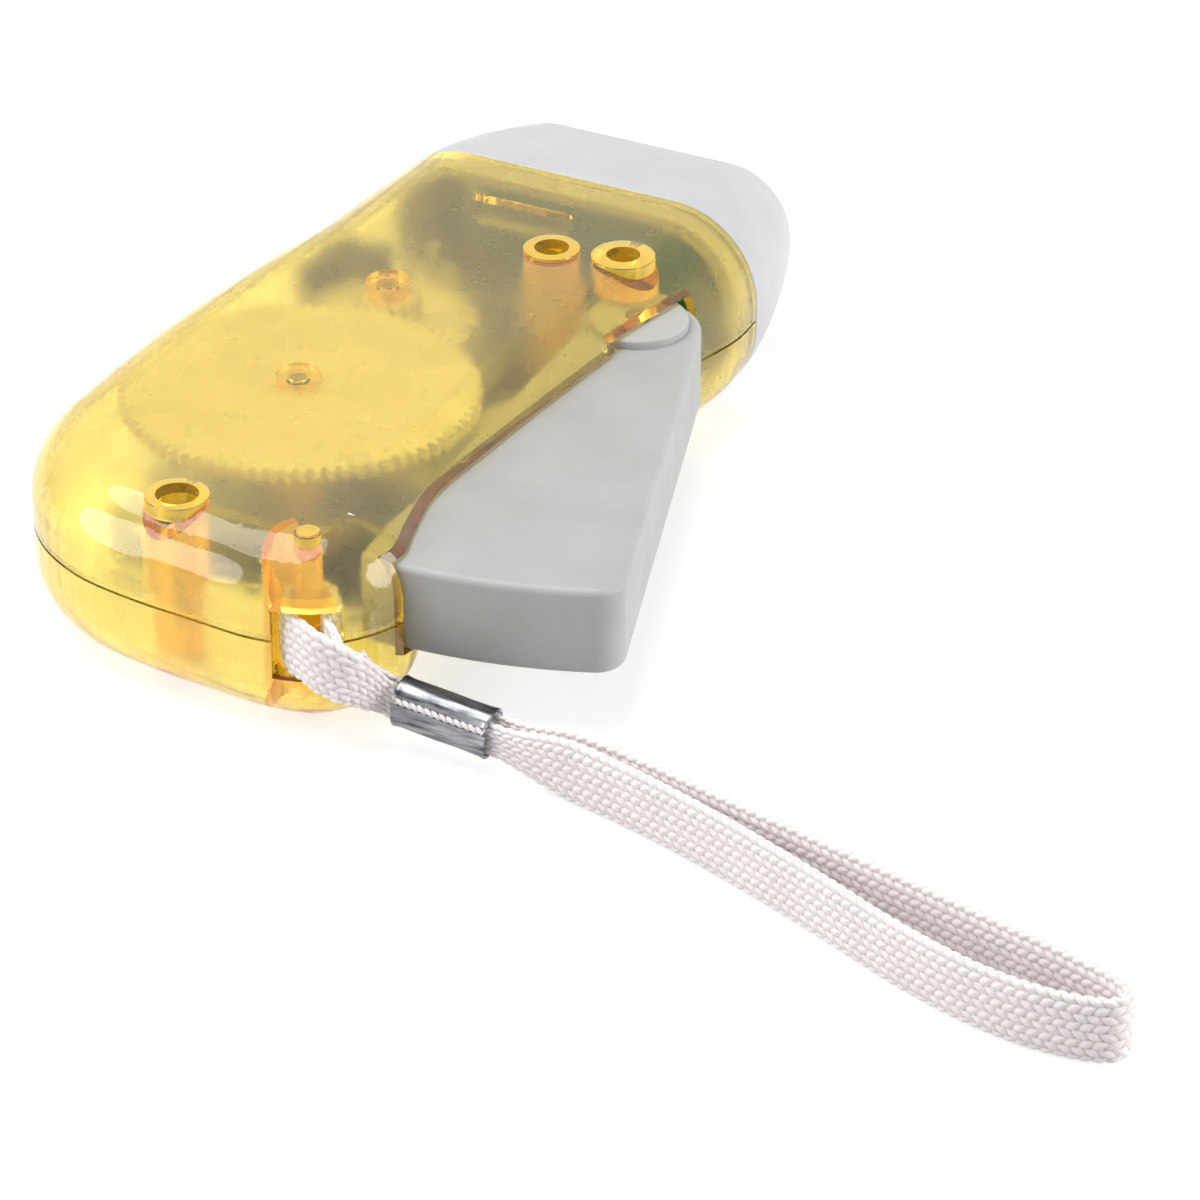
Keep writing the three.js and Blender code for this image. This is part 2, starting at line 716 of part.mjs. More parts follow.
// The lever's toothed sector: hub on the pivot pin, a web and a rim with the teeth it needs
function sectorGear() {
  const top = sectorBottom + sectorThick;
  const meshAngle = pivotDirection + Math.PI;
  const pitchAngle = 2 * Math.PI / sectorPitchTeeth;
  const radii = toothRadii(sectorPitchTeeth, sectorModule, true);
  const toothCount = Math.ceil(leverTravel / pitchAngle) + 2 * spareTeeth;
  const points = [];
  for (let tooth = 0; tooth <= toothCount; tooth += 1) {
    const middle = meshAngle + (tooth - spareTeeth) * pitchAngle;
    points.push(...toothPoints(pivotPlace, sectorPitchTeeth, sectorModule, middle, radii));
  }
  const start = meshAngle - (spareTeeth + 0.5) * pitchAngle;
  const end = meshAngle + (toothCount - spareTeeth + 0.5) * pitchAngle;
  const arcSteps = 10;
  for (let step = 0; step <= arcSteps; step += 1) {
    points.push(polar(pivotPlace, sectorRimRadius, end + (start - end) * (step / arcSteps)));
  }
  const web = [pivotPlace];
  for (let step = 0; step <= arcSteps; step += 1) {
    const angle = end - sectorWebSpan + sectorWebSpan * (step / arcSteps);
    web.push(polar(pivotPlace, sectorRimRadius + weld, angle));
  }
  const hubBottom = leverBottom + leverWall + pieceGap;
  const hubTop = leverTop - leverWall - pieceGap;
  return joinAll([
    prism(outlineShape(points), sectorBottom, top),
    prism(outlineShape(web), sectorBottom, top),
    upright(pivotPlace, sectorHubRadius, hubBottom, hubTop),
  ]).subtract(upright(pivotPlace, pivotPinRadius + shankGap, 0, seamTop));
}

// Head: its section runs from the housing's own section at the seam to the front rim
const seamRight = seamRightShare * planWidth - leverSideReach;
const seamLeft = seamLeftShare * planWidth - leverSideReach;
const headMiddle = (seamLeft + seamRight) / 2;
const seamHalfWidth = (seamLeft - seamRight) / 2;
const headStart = seamReach + pieceGap;
const rimReach = seamReach + headLength;
const headMid = seamTop / 2;

function headRing(x, inset) {
  const share = Math.max(0, (x - seamReach) / headLength) ** headTaper;
  const halfWidth = THREE.MathUtils.lerp(seamHalfWidth, rimHalfWidth, share) - inset;
  const halfHeight = THREE.MathUtils.lerp(seamTop / 2, rimHalfHeight, share) - inset;
  const round = THREE.MathUtils.lerp(headRound, rimRound, share) - inset;
  const corners = [[1, 1], [-1, 1], [-1, -1], [1, -1]];
  const points = [];
  corners.forEach(([sideY, sideZ], quarter) => {
    for (let step = 0; step <= headCornerSteps; step += 1) {
      const angle = (quarter + step / headCornerSteps) * (Math.PI / 2);
      points.push([
        x,
        headMiddle + sideY * (halfWidth - round) + round * Math.cos(angle),
        headMid + sideZ * (halfHeight - round) + round * Math.sin(angle),
      ]);
    }
  });
  return points;
}

function headStack(stations) {
  return stackRings(stations.map(([x, inset]) => headRing(x, inset)));
}

function headCap() {
  const quarterShares = [0, 0.25, 0.5, 0.75];
  const outer = headStack([
    ...quarterShares.map((share) => [headStart + share * (rimReach - headStart), 0]),
    [rimReach - rimEdge, 0],
    [rimReach, rimEdge],
  ]);
  const hollow = headStack([
    [headStart - overrun, wall],
    ...quarterShares.map((share) => [headStart + share * (rimReach - headStart), wall]),
    [rimReach + overrun, wall],
  ]);
  const flange = headStack([[headStart, wall / 2], [headStart + spigotRoot, wall / 2]]);
  const spigot = headStack([[headStart - spigotLength, spigotInset], [headStart + weld, spigotInset]]);
  const way = headStack([
    [headStart - spigotLength - overrun, spigotInset + spigotWall],
    [headStart + spigotRoot + overrun, spigotInset + spigotWall],
  ]);
  return outer.subtract(hollow).add(flange.add(spigot).subtract(way));
}

function lensPlate() {
  const front = rimReach - lensSink;
  return headStack([[front - lensThick, wall + pieceGap], [front, wall + pieceGap]]);
}

// Round piece about a line along X, from a profile of distances ahead and radii
function alongX([x, y, z], profile) {
  const points = profile.map(([ahead, radius]) => new THREE.Vector2(radius, ahead));
  const geometry = new THREE.LatheGeometry(points, ringSides);
  geometry.rotateZ(-Math.PI / 2);
  geometry.translate(x, y, z);
  return toSolid(geometry);
}

const ledRow = [-1, 0, 1].map((side) => headMiddle + side * ledSpacing);
const boardFront = headStart + boardAhead;

function reflectorBlock() {
  const rear = boardFront + ledFlange + pieceGap;
  const front = rimReach - lensSink - lensThick - pieceGap;
  const body = headStack([[rear, wall + pieceGap], [front, wall + pieceGap]]);
  const depth = front - rear;
  const dishes = ledRow.map((y) => alongX([rear, y, headMid], [
    [-overrun, 0],
    [-overrun, ledRadius + pieceGap],
    [depth / 3, ledRadius + pieceGap],
    [depth, dishRadius],
    [depth + overrun, dishRadius],
    [depth + overrun, 0],
  ]));
  return cutAll(body, dishes);
}

function ledBoard() {
  return block(
    [boardFront - boardThick, boardFront],
    [headMiddle - boardHalfWidth, headMiddle + boardHalfWidth],
    [headMid - boardHalfHeight, headMid + boardHalfHeight],
  );
}

function ledLamp(y) {
  const straight = ledLength - ledRadius;
  return alongX([boardFront, y, headMid], [
    [0, 0],
    [0, ledRadius + ledFlangeEdge],
    [ledFlange, ledRadius + ledFlangeEdge],
    [ledFlange, ledRadius],
    [straight, ledRadius],
    [straight + ledRadius * Math.SQRT1_2, ledRadius * Math.SQRT1_2],
    [ledLength, 0],
  ]);
}

// Fixed insides of the housing
function chassisPlate() {
  const points = planPoints
    .filter(({ x }) => x < seamReach - overrun)
    .map(({ x, y, inX, inY }) => {
      const inset = roundAt(x, lowerRound) - wall / 2;
      return [x + inX * inset, y + inY * inset];
    });
  const hole = (place, radius) => upright(place, radius + pieceGap, 0, splitHeight);
  const behind = [-chassisRearReach - planLength, -chassisRearReach];
  const across = [-planWidth, planWidth];
  return cutAll(prism(outlineShape(points), chassisBottom, chassisTop), [
    hole(mainPlace, axlePostRadius),
    hole(idlerPlace, idlerPostRadius),
    hole(rotorPlace, axlePostRadius),
    hole(pivotPlace, pivotPostRadius),
    hole(frontScrew.place, screwPostRadius),
    block(behind, across, [0, splitHeight]),
  ]);
}

function axle(place, top) {
  return upright(place, axleRadius, wall + axleSink, top);
}

function pivotPin() {
  return upright(pivotPlace, pivotPinRadius, pinBottom, leverTop + leverDiscHeight);
}

function statorCup() {
  const floor = cupBottom + cupWall;
  return tube(rotorPlace, cupRadius, cupRadius - cupWall, cupBottom, cupTop)
    .add(tube(rotorPlace, cupRadius - cupWall / 2, axlePostRadius + pieceGap, cupBottom, floor));
}

function statorCoil() {
  const outer = cupRadius - cupWall - pieceGap;
  return tube(rotorPlace, outer, coilInner, cupBottom + cupWall + pieceGap, cupTop);
}

function ringMagnet() {
  const bottom = cupBottom + cupWall + pieceGap;
  return tube(rotorPlace, magnetRadius, axleRadius + shankGap, bottom, flywheelBottom);
}

function flywheel() {
  const top = flywheelBottom + flywheelThick;
  return tube(rotorPlace, flywheelRadius, axleRadius + shankGap, flywheelBottom, top)
    .add(tube(rotorPlace, flywheelHub, axleRadius + shankGap, top - weld, top + pieceGap));
}

const cellRow = [-1, 0, 1].map((step) => [cellMiddle[0] + step * cellSpacing, cellMiddle[1]]);

function capsule(radius) {
  const half = cellSpacing;
  const points = [];
  const arcSteps = 10;
  for (const [side, start] of [[1, -Math.PI / 2], [-1, Math.PI / 2]]) {
    for (let step = 0; step <= arcSteps; step += 1) {
      const centre = [cellMiddle[0] + side * half, cellMiddle[1]];
      points.push(polar(centre, radius, start + Math.PI * (step / arcSteps)));
    }
  }
  return outlineShape(points);
}

function batteryHolder() {
  const bottom = chassisTop;
  const top = bottom + trayHeight;
  const tray = prism(capsule(trayRadius), bottom, top);
  const wells = cellRow.map((place) => (
    upright(place, cellRadius + pieceGap, bottom + trayWall, top + overrun, cellSides)
  ));
  return cutAll(tray, wells);
}

function buttonCell(place) {
  const bottom = chassisTop + trayWall + contactThick;
  const rimTop = bottom + cellHeight - cellCap;
  return upright(place, cellRadius, bottom, rimTop, cellSides)
    .add(upright(place, cellCapRadius, rimTop - weld, bottom + cellHeight, cellSides));
}

// Spring strips join the cells' faces: two underneath in the wells, one over the top
function topContact() {
  const bottom = chassisTop + trayWall + contactThick + cellHeight;
  const half = contactWidth / 2;
  const [x, y] = cellMiddle;
  return block([x - cellSpacing, x + cellSpacing], [y - half, y + half], [bottom, bottom + contactThick]);
}

function wellContact(place) {
  const bottom = chassisTop + trayWall;
  return upright(place, contactRadius, bottom, bottom + contactThick, cellSides);
}

function switchCase() {
  const { rear, length, travel, height, rootLength, pocketDepth, caseEdge } = switchKnob;
  const face = knobWall - wall - 2 * pieceGap;
  const body = block(
    [rear - pocketDepth, rear + length + travel + pocketDepth],
    [face - 2 * rootLength, face],
    [knobBottom - caseEdge, knobBottom + height + caseEdge],
  );
  const pocket = block(
    [rear - pieceGap, rear + length + travel + pieceGap],
    [face - pocketDepth, face + overrun],
    [knobBottom - pieceGap, knobBottom + height + pieceGap],
  );
  return body.subtract(pocket);
}

function slideSwitch() {
  const { rear, length, height, proudLength, pocketDepth } = switchKnob;
  const face = knobWall - wall - 2 * pieceGap;
  const inner = face - pocketDepth + pieceGap;
  return block([rear, rear + length], [inner, knobWall + proudLength], [knobBottom, knobBottom + height]);
}

function screw({ place, boreRadius, seatHeight }) {
  const seat = splitHeight + seatHeight;
  const head = upright(place, boreRadius - pieceGap, seat, seat + screwHeadHeight, cellSides);
  const shank = upright(place, shankRadius, screwTip, seat + weld);
  const slot = block(
    [place[0] - screwSlotWidth / 2, place[0] + screwSlotWidth / 2],
    [place[1] - boreRadius / 2, place[1] + boreRadius / 2],
    [seat + screwHeadHeight / 2, seat + overrun],
  );
  const crossSlot = block(
    [place[0] - boreRadius / 2, place[0] + boreRadius / 2],
    [place[1] - screwSlotWidth / 2, place[1] + screwSlotWidth / 2],
    [seat + screwHeadHeight / 2, seat + overrun],
  );
  return head.add(shank).subtract(slot.add(crossSlot));
}

function leverSpring() {
  const inner = sectorHubRadius + pieceGap;
  const bottom = sectorBottom + sectorThick + pieceGap;
  return tube(pivotPlace, inner + springWire, inner, bottom, leverTop - leverWall - pieceGap);
}

// A round wire through a few points
function wire(points) {
  const curve = new THREE.CatmullRomCurve3(points.map((point) => new THREE.Vector3(...point)));
  const section = outlineShape(Array.from({ length: wireSides }, (_, step) => (
    polar([0, 0], wireRadius, 2 * Math.PI * (step / wireSides))
  )));
  const sweep = { steps: wireSteps, bevelEnabled: false, extrudePath: curve };
  return toSolid(new THREE.ExtrudeGeometry(section, sweep));
}

function supplyWire(height) {
  const start = cellMiddle[0] + cellSpacing + cellRadius + trayWall + 2 * pieceGap;
  const aside = rotorPlace[1] + cupRadius + 2 * wireRadius + 2 * pieceGap;
  return wire([
    [start, cellMiddle[1], height],
    [(start + rotorPlace[0]) / 2, aside, height],
    [rotorPlace[0], aside, height],
    [rotorPlace[0] + cupRadius, rotorPlace[1] + cupRadius - wireInset, height],
    [seamReach - spigotLength, rotorPlace[1] + cupRadius / 2, height + wireClimb],
    [boardFront - boardThick - pieceGap, rotorPlace[1], height + 2 * wireClimb],
  ]);
}

// Wrist strap: round the post, out through the slot and the ferrule, round the hand loop
// and back; the two ends lie behind the post, one gap apart
function strapWrap(from, to) {
  const points = [];
  for (let step = 0; step <= wrapSteps; step += 1) {
    const angle = from + (to - from) * (step / wrapSteps);
    points.push([...polar(strapPost, strapOffset, angle), strapCentreHeight]);
  }
  return points;
}
const strapOut = [
  [-31.2, -21.9, 11.5], [-33, -23.3, 11.2], [-33.5, -24.4, 10.1], [-32.7, -25.2, 8.6],
  [-31.5, -26, 7.5], [-30.5, -27.3, 6.7], [-29.8, -28.7, 6.15], [-29.5, -29.95, 5.85],
  [-29.2, -35.35, 5.18], [-28.9, -40.75, 4.5], [-29.1, -45, 4.1],
  [-29.6, -51, 3.9], [-31, -59.8, 3.85], [-33.1, -69, 3.85],
  [-35.3, -79.5, 3.85], [-37.8, -91, 3.85], [-40.4, -102.8, 3.85], [-42.5, -112, 3.85],
  [-43.9, -116.6, 3.85], [-45.4, -118.6, 3.85], [-47.2, -118.2, 3.85],
];
const strapBack = [
  [-48.3, -115.8, 3.85], [-48.9, -110.5, 3.85], [-48.1, -103.5, 3.85], [-45.7, -95, 3.85],
  [-40.8, -82.5, 3.85], [-36, -69, 3.85], [-33, -58.5, 3.85], [-31.4, -50.5, 3.9],
  [-30.9, -45, 4.1], [-30.7, -40.85, 4.5], [-31, -35.45, 5.18], [-31.3, -30.05, 5.85],
  [-31.6, -29, 6.5], [-32.5, -28, 7.4], [-33.6, -27.2, 8.6], [-34.8, -26.1, 9.8],
  [-35.2, -24.4, 10.6], [-35.1, -22.7, 11.1], [-34.3, -20.5, 11.4], [-33.4, -18.4, 11.5],
];
const outerWrap = strapWrap(outerWrapStart, outerWrapEnd);
const innerWrap = strapWrap(innerWrapStart, innerWrapEnd);
const strapRoute = [...outerWrap, ...strapOut, ...strapBack, ...innerWrap];
const ferruleStart = [-30.4, -30, 5.85];
const ferruleEnd = [-29.8, -40.8, 4.5];

// A flat band along points, with its width upright and its own width and thickness at each
const bandSectionShares = [
  [1, -0.5], [1, 0.5], [0.85, 1], [-0.85, 1], [-1, 0.5], [-1, -0.5], [-0.85, -1], [0.85, -1],
];
function band(points, aheads, sizeAt) {
  const upward = new THREE.Vector3(0, 0, 1);
  return stackRings(points.map((point, step) => {
    const side = new THREE.Vector3().crossVectors(aheads[step], upward).normalize();
    const up = new THREE.Vector3().crossVectors(side, aheads[step]);
    const [width, thick] = sizeAt(point);
    return bandSectionShares.map(([alongUp, alongSide]) => point.clone()
      .addScaledVector(up, alongUp * width / 2)
      .addScaledVector(side, alongSide * thick / 2)
      .toArray());
  }));
}

// The ferrule squeezes the braid narrower and thinner; it widens slowly toward the loop
function strapSizeAt(point) {
  const start = new THREE.Vector3(...ferruleStart);
  const end = new THREE.Vector3(...ferruleEnd);
  const middle = start.clone().lerp(end, 0.5);
  const reach = start.distanceTo(end) / 2;
  const away = point.distanceTo(middle) / reach;
  const free = point.y < middle.y ? loopSqueezeEnd : mouthSqueezeEnd;
  const squeeze = 1 - THREE.MathUtils.smoothstep(away, squeezeStart, free);
  return [
    THREE.MathUtils.lerp(strapWidth, squeezedWidth, squeeze),
    THREE.MathUtils.lerp(strapThick, squeezedThick, squeeze),
  ];
}

function wristStrap() {
  const curve = new THREE.CatmullRomCurve3(strapRoute.map((point) => new THREE.Vector3(...point)));
  const shares = Array.from({ length: strapSteps + 1 }, (_, step) => step / strapSteps);
  const points = shares.map((share) => curve.getPoint(share));
  const aheads = shares.map((share) => curve.getTangent(share));
  return band(points, aheads, strapSizeAt);
}

function strapFerrule() {
  const start = new THREE.Vector3(...ferruleStart);
  const end = new THREE.Vector3(...ferruleEnd);
  const ahead = end.clone().sub(start).normalize();
  const past = ahead.clone().multiplyScalar(overrun);
  const outer = band([start, end], [ahead, ahead], () => [ferruleHigh, ferruleWide]);
  const bore = band(
    [start.clone().sub(past), end.clone().add(past)],
    [ahead, ahead],
    () => [ferruleHigh - 2 * ferruleWall, ferruleWide - 2 * ferruleWall],
  );
  return outer.subtract(bore);
}

const torch = new THREE.Group();
const axleTop = mainGearTop + axleSink;
const pieces = [
  ['lower_shell', lowerShell(), shellYellow, 0.15],
  ['upper_shell', upperShell(), shellYellow, 0.15],
  ['head_cap', headCap(), headGrey, 0.35],
  ['lens', lensPlate(), lensClear, 0.05],
  ['reflector', reflectorBlock(), steel, 0.1, 1],
  ['led_board', ledBoard(), boardGreen, 0.5],
  ['led_left', ledLamp(ledRow[2]), lampClear, 0.1],
  ['led_middle', ledLamp(ledRow[1]), lampClear, 0.1],
  ['led_right', ledLamp(ledRow[0]), lampClear, 0.1],
  ['chassis_plate', chassisPlate(), darkPlastic, 0.6],
  ['main_axle', axle(mainPlace, axleTop), steel, 0.3, 1],
  ['idler_axle', axle(idlerPlace, axleTop), steel, 0.3, 1],
  ['rotor_axle', axle(rotorPlace, axleTop), steel, 0.3, 1],
  ['lever_pivot_pin', pivotPin(), steel, 0.3, 1],
  ['stator_cup', statorCup(), steel, 0.4, 1],
  ['stator_coil', statorCoil(), copper, 0.4, 1],
  ['battery_holder', batteryHolder(), trayGrey, 0.6],
  ['cell_rear', buttonCell(cellRow[0]), steel, 0.25, 1],
  ['cell_middle', buttonCell(cellRow[1]), steel, 0.25, 1],
  ['cell_front', buttonCell(cellRow[2]), steel, 0.25, 1],
  ['contact_top', topContact(), steel, 0.3, 1],
  ['contact_rear', wellContact(cellRow[0]), steel, 0.3, 1],
  ['contact_middle', wellContact(cellRow[1]), steel, 0.3, 1],
  ['contact_front', wellContact(cellRow[2]), steel, 0.3, 1],
  ['switch_case', switchCase(), darkPlastic, 0.6],
  ['slide_switch', slideSwitch(), headGrey, 0.4],
  ['screw_front', screw(frontScrew), steel, 0.3, 1],
  ['screw_rear', screw(rearScrew), steel, 0.3, 1],
  ['lever_spring', leverSpring(), steel, 0.3, 1],
  ['red_wire', supplyWire(chassisTop + redWireLift), wireRed, 0.5],
  ['black_wire', supplyWire(chassisTop + blackWireLift), wireBlack, 0.5],
  ['wrist_strap', wristStrap(), braid, 0.95],
  ['strap_ferrule', strapFerrule(), steel, 0.25, 1],
  ['squeeze_lever', squeezeLever(), leverGrey, 0.45],
  ['lever_sector_gear', sectorGear(), nylonWhite, 0.5],
  ['drive_pinion', drivePinion(), nylonWhite, 0.5],
  ['main_gear', mainGear(), nylonWhite, 0.5],
  ['idler_gear', idlerGear(), nylonWhite, 0.5],
  ['rotor_pinion', rotorPinion(), nylonWhite, 0.5],
  ['flywheel', flywheel(), steel, 0.3, 1],
  ['ring_magnet', ringMagnet(), magnetGrey, 0.5, 1],
];
for (const [name, shape, colour, roughness, metalness] of pieces) {
  torch.add(piece(name, shape, colour, roughness, metalness));
}
export default torch;
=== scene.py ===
import math

import bmesh
import bpy
import numpy as np
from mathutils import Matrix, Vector
from mathutils.bvhtree import BVHTree


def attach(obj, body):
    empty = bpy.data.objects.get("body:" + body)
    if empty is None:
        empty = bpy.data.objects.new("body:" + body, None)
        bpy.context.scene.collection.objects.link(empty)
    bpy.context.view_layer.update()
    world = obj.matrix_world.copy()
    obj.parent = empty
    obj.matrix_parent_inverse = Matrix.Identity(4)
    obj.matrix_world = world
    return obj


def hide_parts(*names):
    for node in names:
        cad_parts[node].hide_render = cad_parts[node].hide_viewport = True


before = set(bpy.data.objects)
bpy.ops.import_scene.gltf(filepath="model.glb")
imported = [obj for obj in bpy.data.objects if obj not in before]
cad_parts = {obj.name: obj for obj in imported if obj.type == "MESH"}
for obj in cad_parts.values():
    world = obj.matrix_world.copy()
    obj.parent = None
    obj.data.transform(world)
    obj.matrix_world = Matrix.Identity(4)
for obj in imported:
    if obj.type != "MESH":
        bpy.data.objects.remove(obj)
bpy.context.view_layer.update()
mm = 0.001

# Where the moving parts sit, in millimetres from the main gear's axle on the flat underside
places = {
    "main": (0.0, 0.0),
    "idler": (22.9227, 1.8845),
    "rotor": (35.3751, 2.9739),
    "pivot": (34.6133, -23.7891),
    "strapPost": (-29.3888, -18.752),
    "pip": (-29.3888, -18.752),
    "frontScrew": (36.7751, -11.7261),
    "rearScrew": (-28.6888, -2.352),
    "blindBoss": (38.8133, -19.8891),
}


# Small tools that the pieces below share
def polar(centre, distance, degrees):
    turn = math.radians(degrees)
    return (centre[0] + distance * math.cos(turn), centre[1] + distance * math.sin(turn))


def smoothStep(value, low, high):
    share = np.clip((value - low) / (high - low), 0, 1)
    return share * share * (3 - 2 * share)


def curveThrough(points, closed, perSpan=24):
    # centripetal curve through the points, the same one that the solids follow
    corners = [np.array(p, float) for p in points]
    count = len(corners)
    shortestKnot = 1e-4
    spans = count if closed else count - 1
    samples = []
    for span in range(spans):
        near, far = corners[span], corners[(span + 1) % count]
        before = corners[span - 1] if closed or span > 0 else 2 * near - corners[1]
        after = corners[(span + 2) % count] if closed or span + 2 < count else 2 * far - corners[-2]
        hops = ((before, near), (near, far), (far, after))
        d0, d1, d2 = (max(np.linalg.norm(b - a) ** 0.5, shortestKnot) for a, b in hops)
        t1 = ((near - before) / d0 - (far - before) / (d0 + d1) + (far - near) / d1) * d1
        t2 = ((far - near) / d1 - (after - near) / (d1 + d2) + (after - far) / d2) * d1
        for step in range(perSpan):
            t = step / perSpan
            samples.append(near + t1 * t + (3 * (far - near) - 2 * t1 - t2) * t ** 2
                           + (2 * (near - far) + t1 + t2) * t ** 3)
    samples.append(corners[0] if closed else corners[-1])
    return np.array(samples)


def evenly(samples, count):
    # count + 1 points at equal distances along a sampled line, and its whole length
    gaps = np.linalg.norm(np.diff(samples, axis=0), axis=1)
    reach = np.concatenate([[0], np.cumsum(gaps)])
    wanted = np.linspace(0, reach[-1], count + 1)
    placed = [np.interp(wanted, reach, samples[:, axis]) for axis in range(samples.shape[1])]
    return np.stack(placed, 1), reach[-1]


def newObject(name, vertices, faces, smooth=True):
    # vertices are given in millimetres
    mesh = bpy.data.meshes.new(name)
    mesh.from_pydata([tuple(float(c) * mm for c in v) for v in vertices], [], faces)
    mesh.validate()
    tidy = bmesh.new()
    tidy.from_mesh(mesh)
    bmesh.ops.recalc_face_normals(tidy, faces=tidy.faces)
    for face in tidy.faces:
        face.smooth = smooth
    tidy.to_mesh(mesh)
    tidy.free()
    thing = bpy.data.objects.new(name, mesh)
    bpy.context.scene.collection.objects.link(thing)
    return thing


def ringStack(name, rings, closed=True, loop=False):
    # skin over rings with equal numbers of points; closed ends are flat faces
    rings = [list(ring) for ring in rings]
    count = len(rings[0])
    faces = []
    spans = len(rings) if loop else len(rings) - 1
    for level in range(spans):
        low, high = level * count, (level + 1) % len(rings) * count
        faces += [(low + i, low + (i + 1) % count, high + (i + 1) % count, high + i) for i in range(count)]
    if closed and not loop:
        last = (len(rings) - 1) * count
        faces += [tuple(reversed(range(count))), tuple(range(last, last + count))]
    return newObject(name, [p for ring in rings for p in ring], faces)


def turned(name, place, profile, sides=64, loop=False):
    # round piece about an upright line, from (radius, height) pairs that run bottom to top outside;
    # with loop the profile closes on itself and leaves a hole
    rings = [[polar(place, radius, 360 * i / sides) + (height,) for i in range(sides)]
             for radius, height in profile]
    return ringStack(name, rings, loop=loop)


def raised(name, outline, bottom, top):
    # a plan outline raised straight up
    return ringStack(name, [[(x, y, bottom) for x, y in outline], [(x, y, top) for x, y in outline]])


def brick(name, low, high):
    corners = [(low[0], low[1]), (high[0], low[1]), (high[0], high[1]), (low[0], high[1])]
    return raised(name, corners, low[2], high[2])


def combine(target, others, how):
    # boolean with each of the others, which are used up
    for other in others:
        step = target.modifiers.new("cut", "BOOLEAN")
        step.operation = how
        step.solver = "MANIFOLD"
        step.object = other
        applyLast(target)
        bpy.data.objects.remove(other)
    return target


def applyLast(thing):
    bpy.context.view_layer.update()
    shaped = bpy.data.meshes.new_from_object(thing.evaluated_get(bpy.context.evaluated_depsgraph_get()))
    thing.modifiers.clear()
    thing.data = shaped


def cutUp(thing, spacing=1.9, start=1.37):
    # a grid of planes through the flat faces, so that cuts made later leave none with holes
    # or hundreds of corners
    cut = bmesh.new()
    cut.from_mesh(thing.data)
    corners = np.array([v.co for v in cut.verts])
    for axis in (0, 1):
        normal = Vector((1 - axis, axis, 0))
        low, high = corners[:, axis].min(), corners[:, axis].max()
        for place in np.arange(low + start * mm, high, spacing * mm):
            bmesh.ops.bisect_plane(cut, geom=cut.verts[:] + cut.edges[:] + cut.faces[:], dist=0.001 * mm,
                                   plane_co=normal * place, plane_no=normal)
    cut.to_mesh(thing.data)
    cut.free()
    return thing


def bevel(thing, width, **limits):
    step = thing.modifiers.new("edge", "BEVEL")
    step.width = width * mm
    step.segments = 2
    for key, value in limits.items():
        setattr(step, key, value)
    applyLast(thing)
    return thing


def softenAway(thing, width, flats, degrees=38, near=0.05):
    # rounds the sharp edges that don't lie on one of the given flats, whose long faces must stay whole
    marked = bmesh.new()
    marked.from_mesh(thing.data)
    bmesh.ops.triangulate(marked, faces=[f for f in marked.faces if len(f.verts) > 4])
    weight = marked.edges.layers.float.new("bevel_weight_edge")
    for edge in marked.edges:
        isFlat = any(abs(v.co.z / mm - flat(v.co.x / mm)) < near for v in edge.verts for flat in flats)
        isSharp = len(edge.link_faces) == 2 and edge.calc_face_angle(0) > math.radians(degrees)
        edge[weight] = 1.0 if isSharp and not isFlat else 0.0
    marked.to_mesh(thing.data)
    marked.free()
    return bevel(thing, width, limit_method="WEIGHT")


def smoothByAngle(thing, degrees=35):
    # smooth shading in which the large flat faces stay flat
    thing.data.shade_smooth()
    thing.data.set_sharp_from_angle(angle=math.radians(degrees))
    step = thing.modifiers.new("flats", "WEIGHTED_NORMAL")
    step.keep_sharp = True
    step.weight = 90
    applyLast(thing)
    return thing


def dress(thing, body, slotName, *nodes):
    # everything that a finished piece needs: the finish of its slot, its body and the solids it stands for
    thing.data.materials.clear()
    thing.data.materials.append(finishes[slotName])
    if nodes:
        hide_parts(*nodes)
    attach(thing, body)
    return thing


print("tools ready")


# Surfaces
def linear(hexText):
    # sRGB hex to the linear colour that the shaders take
    parts = [int(hexText[i:i + 2], 16) / 255 for i in (1, 3, 5)]
    return tuple(c / 12.92 if c <= 0.04045 else ((c + 0.055) / 1.055) ** 2.4 for c in parts) + (1.0,)


def addNode(tree, kind, settings={}, links={}):
    node = tree.nodes.new("ShaderNode" + kind)
    for key, value in settings.items():
        if key == "stops":
            ramp = node.color_ramp
            while len(ramp.elements) < len(value):
                ramp.elements.new(0.5)
            for element, (position, colour) in zip(ramp.elements, value):
                element.position = position
                element.color = colour if hasattr(colour, "__len__") else (colour, colour, colour, 1)
        elif isinstance(key, int) or key in node.inputs:
            node.inputs[key].default_value = value
        else:
            setattr(node, key, value)
    for key, source in links.items():
        tree.links.new(source, node.inputs[key])
    return node


def perMetre(size):
    # texture scale for a pattern of that many millimetres
    return 1 / (size * mm)


def startFinish(name, settings):
    material = bpy.data.materials.new(name)
    material.use_nodes = True
    tree = material.node_tree
    tree.nodes.clear()
    shader = addNode(tree, "BsdfPrincipled", settings)
    out = addNode(tree, "OutputMaterial", {}, {"Surface": shader.outputs[0]})
    return material, tree, shader, out


def mottle(tree, size, detail=3.0, stretch=(1, 1, 1)):
    # cloudy variation in object space; stretch pulls it along an axis
    where = addNode(tree, "TexCoord")
    pulled = addNode(tree, "Mapping", {"Scale": stretch}, {"Vector": where.outputs["Object"]})
    return addNode(tree, "TexNoise", {"Scale": perMetre(size), "Detail": detail},
                   {"Vector": pulled.outputs[0]}).outputs["Fac"]


def toned(tree, source, low, high, start=0.35, end=0.65):
    # colour or grey level that follows the source from low to high
    stops = [(start, low), (end, high)]
    return addNode(tree, "ValToRGB", {"stops": stops}, {"Fac": source}).outputs[0]


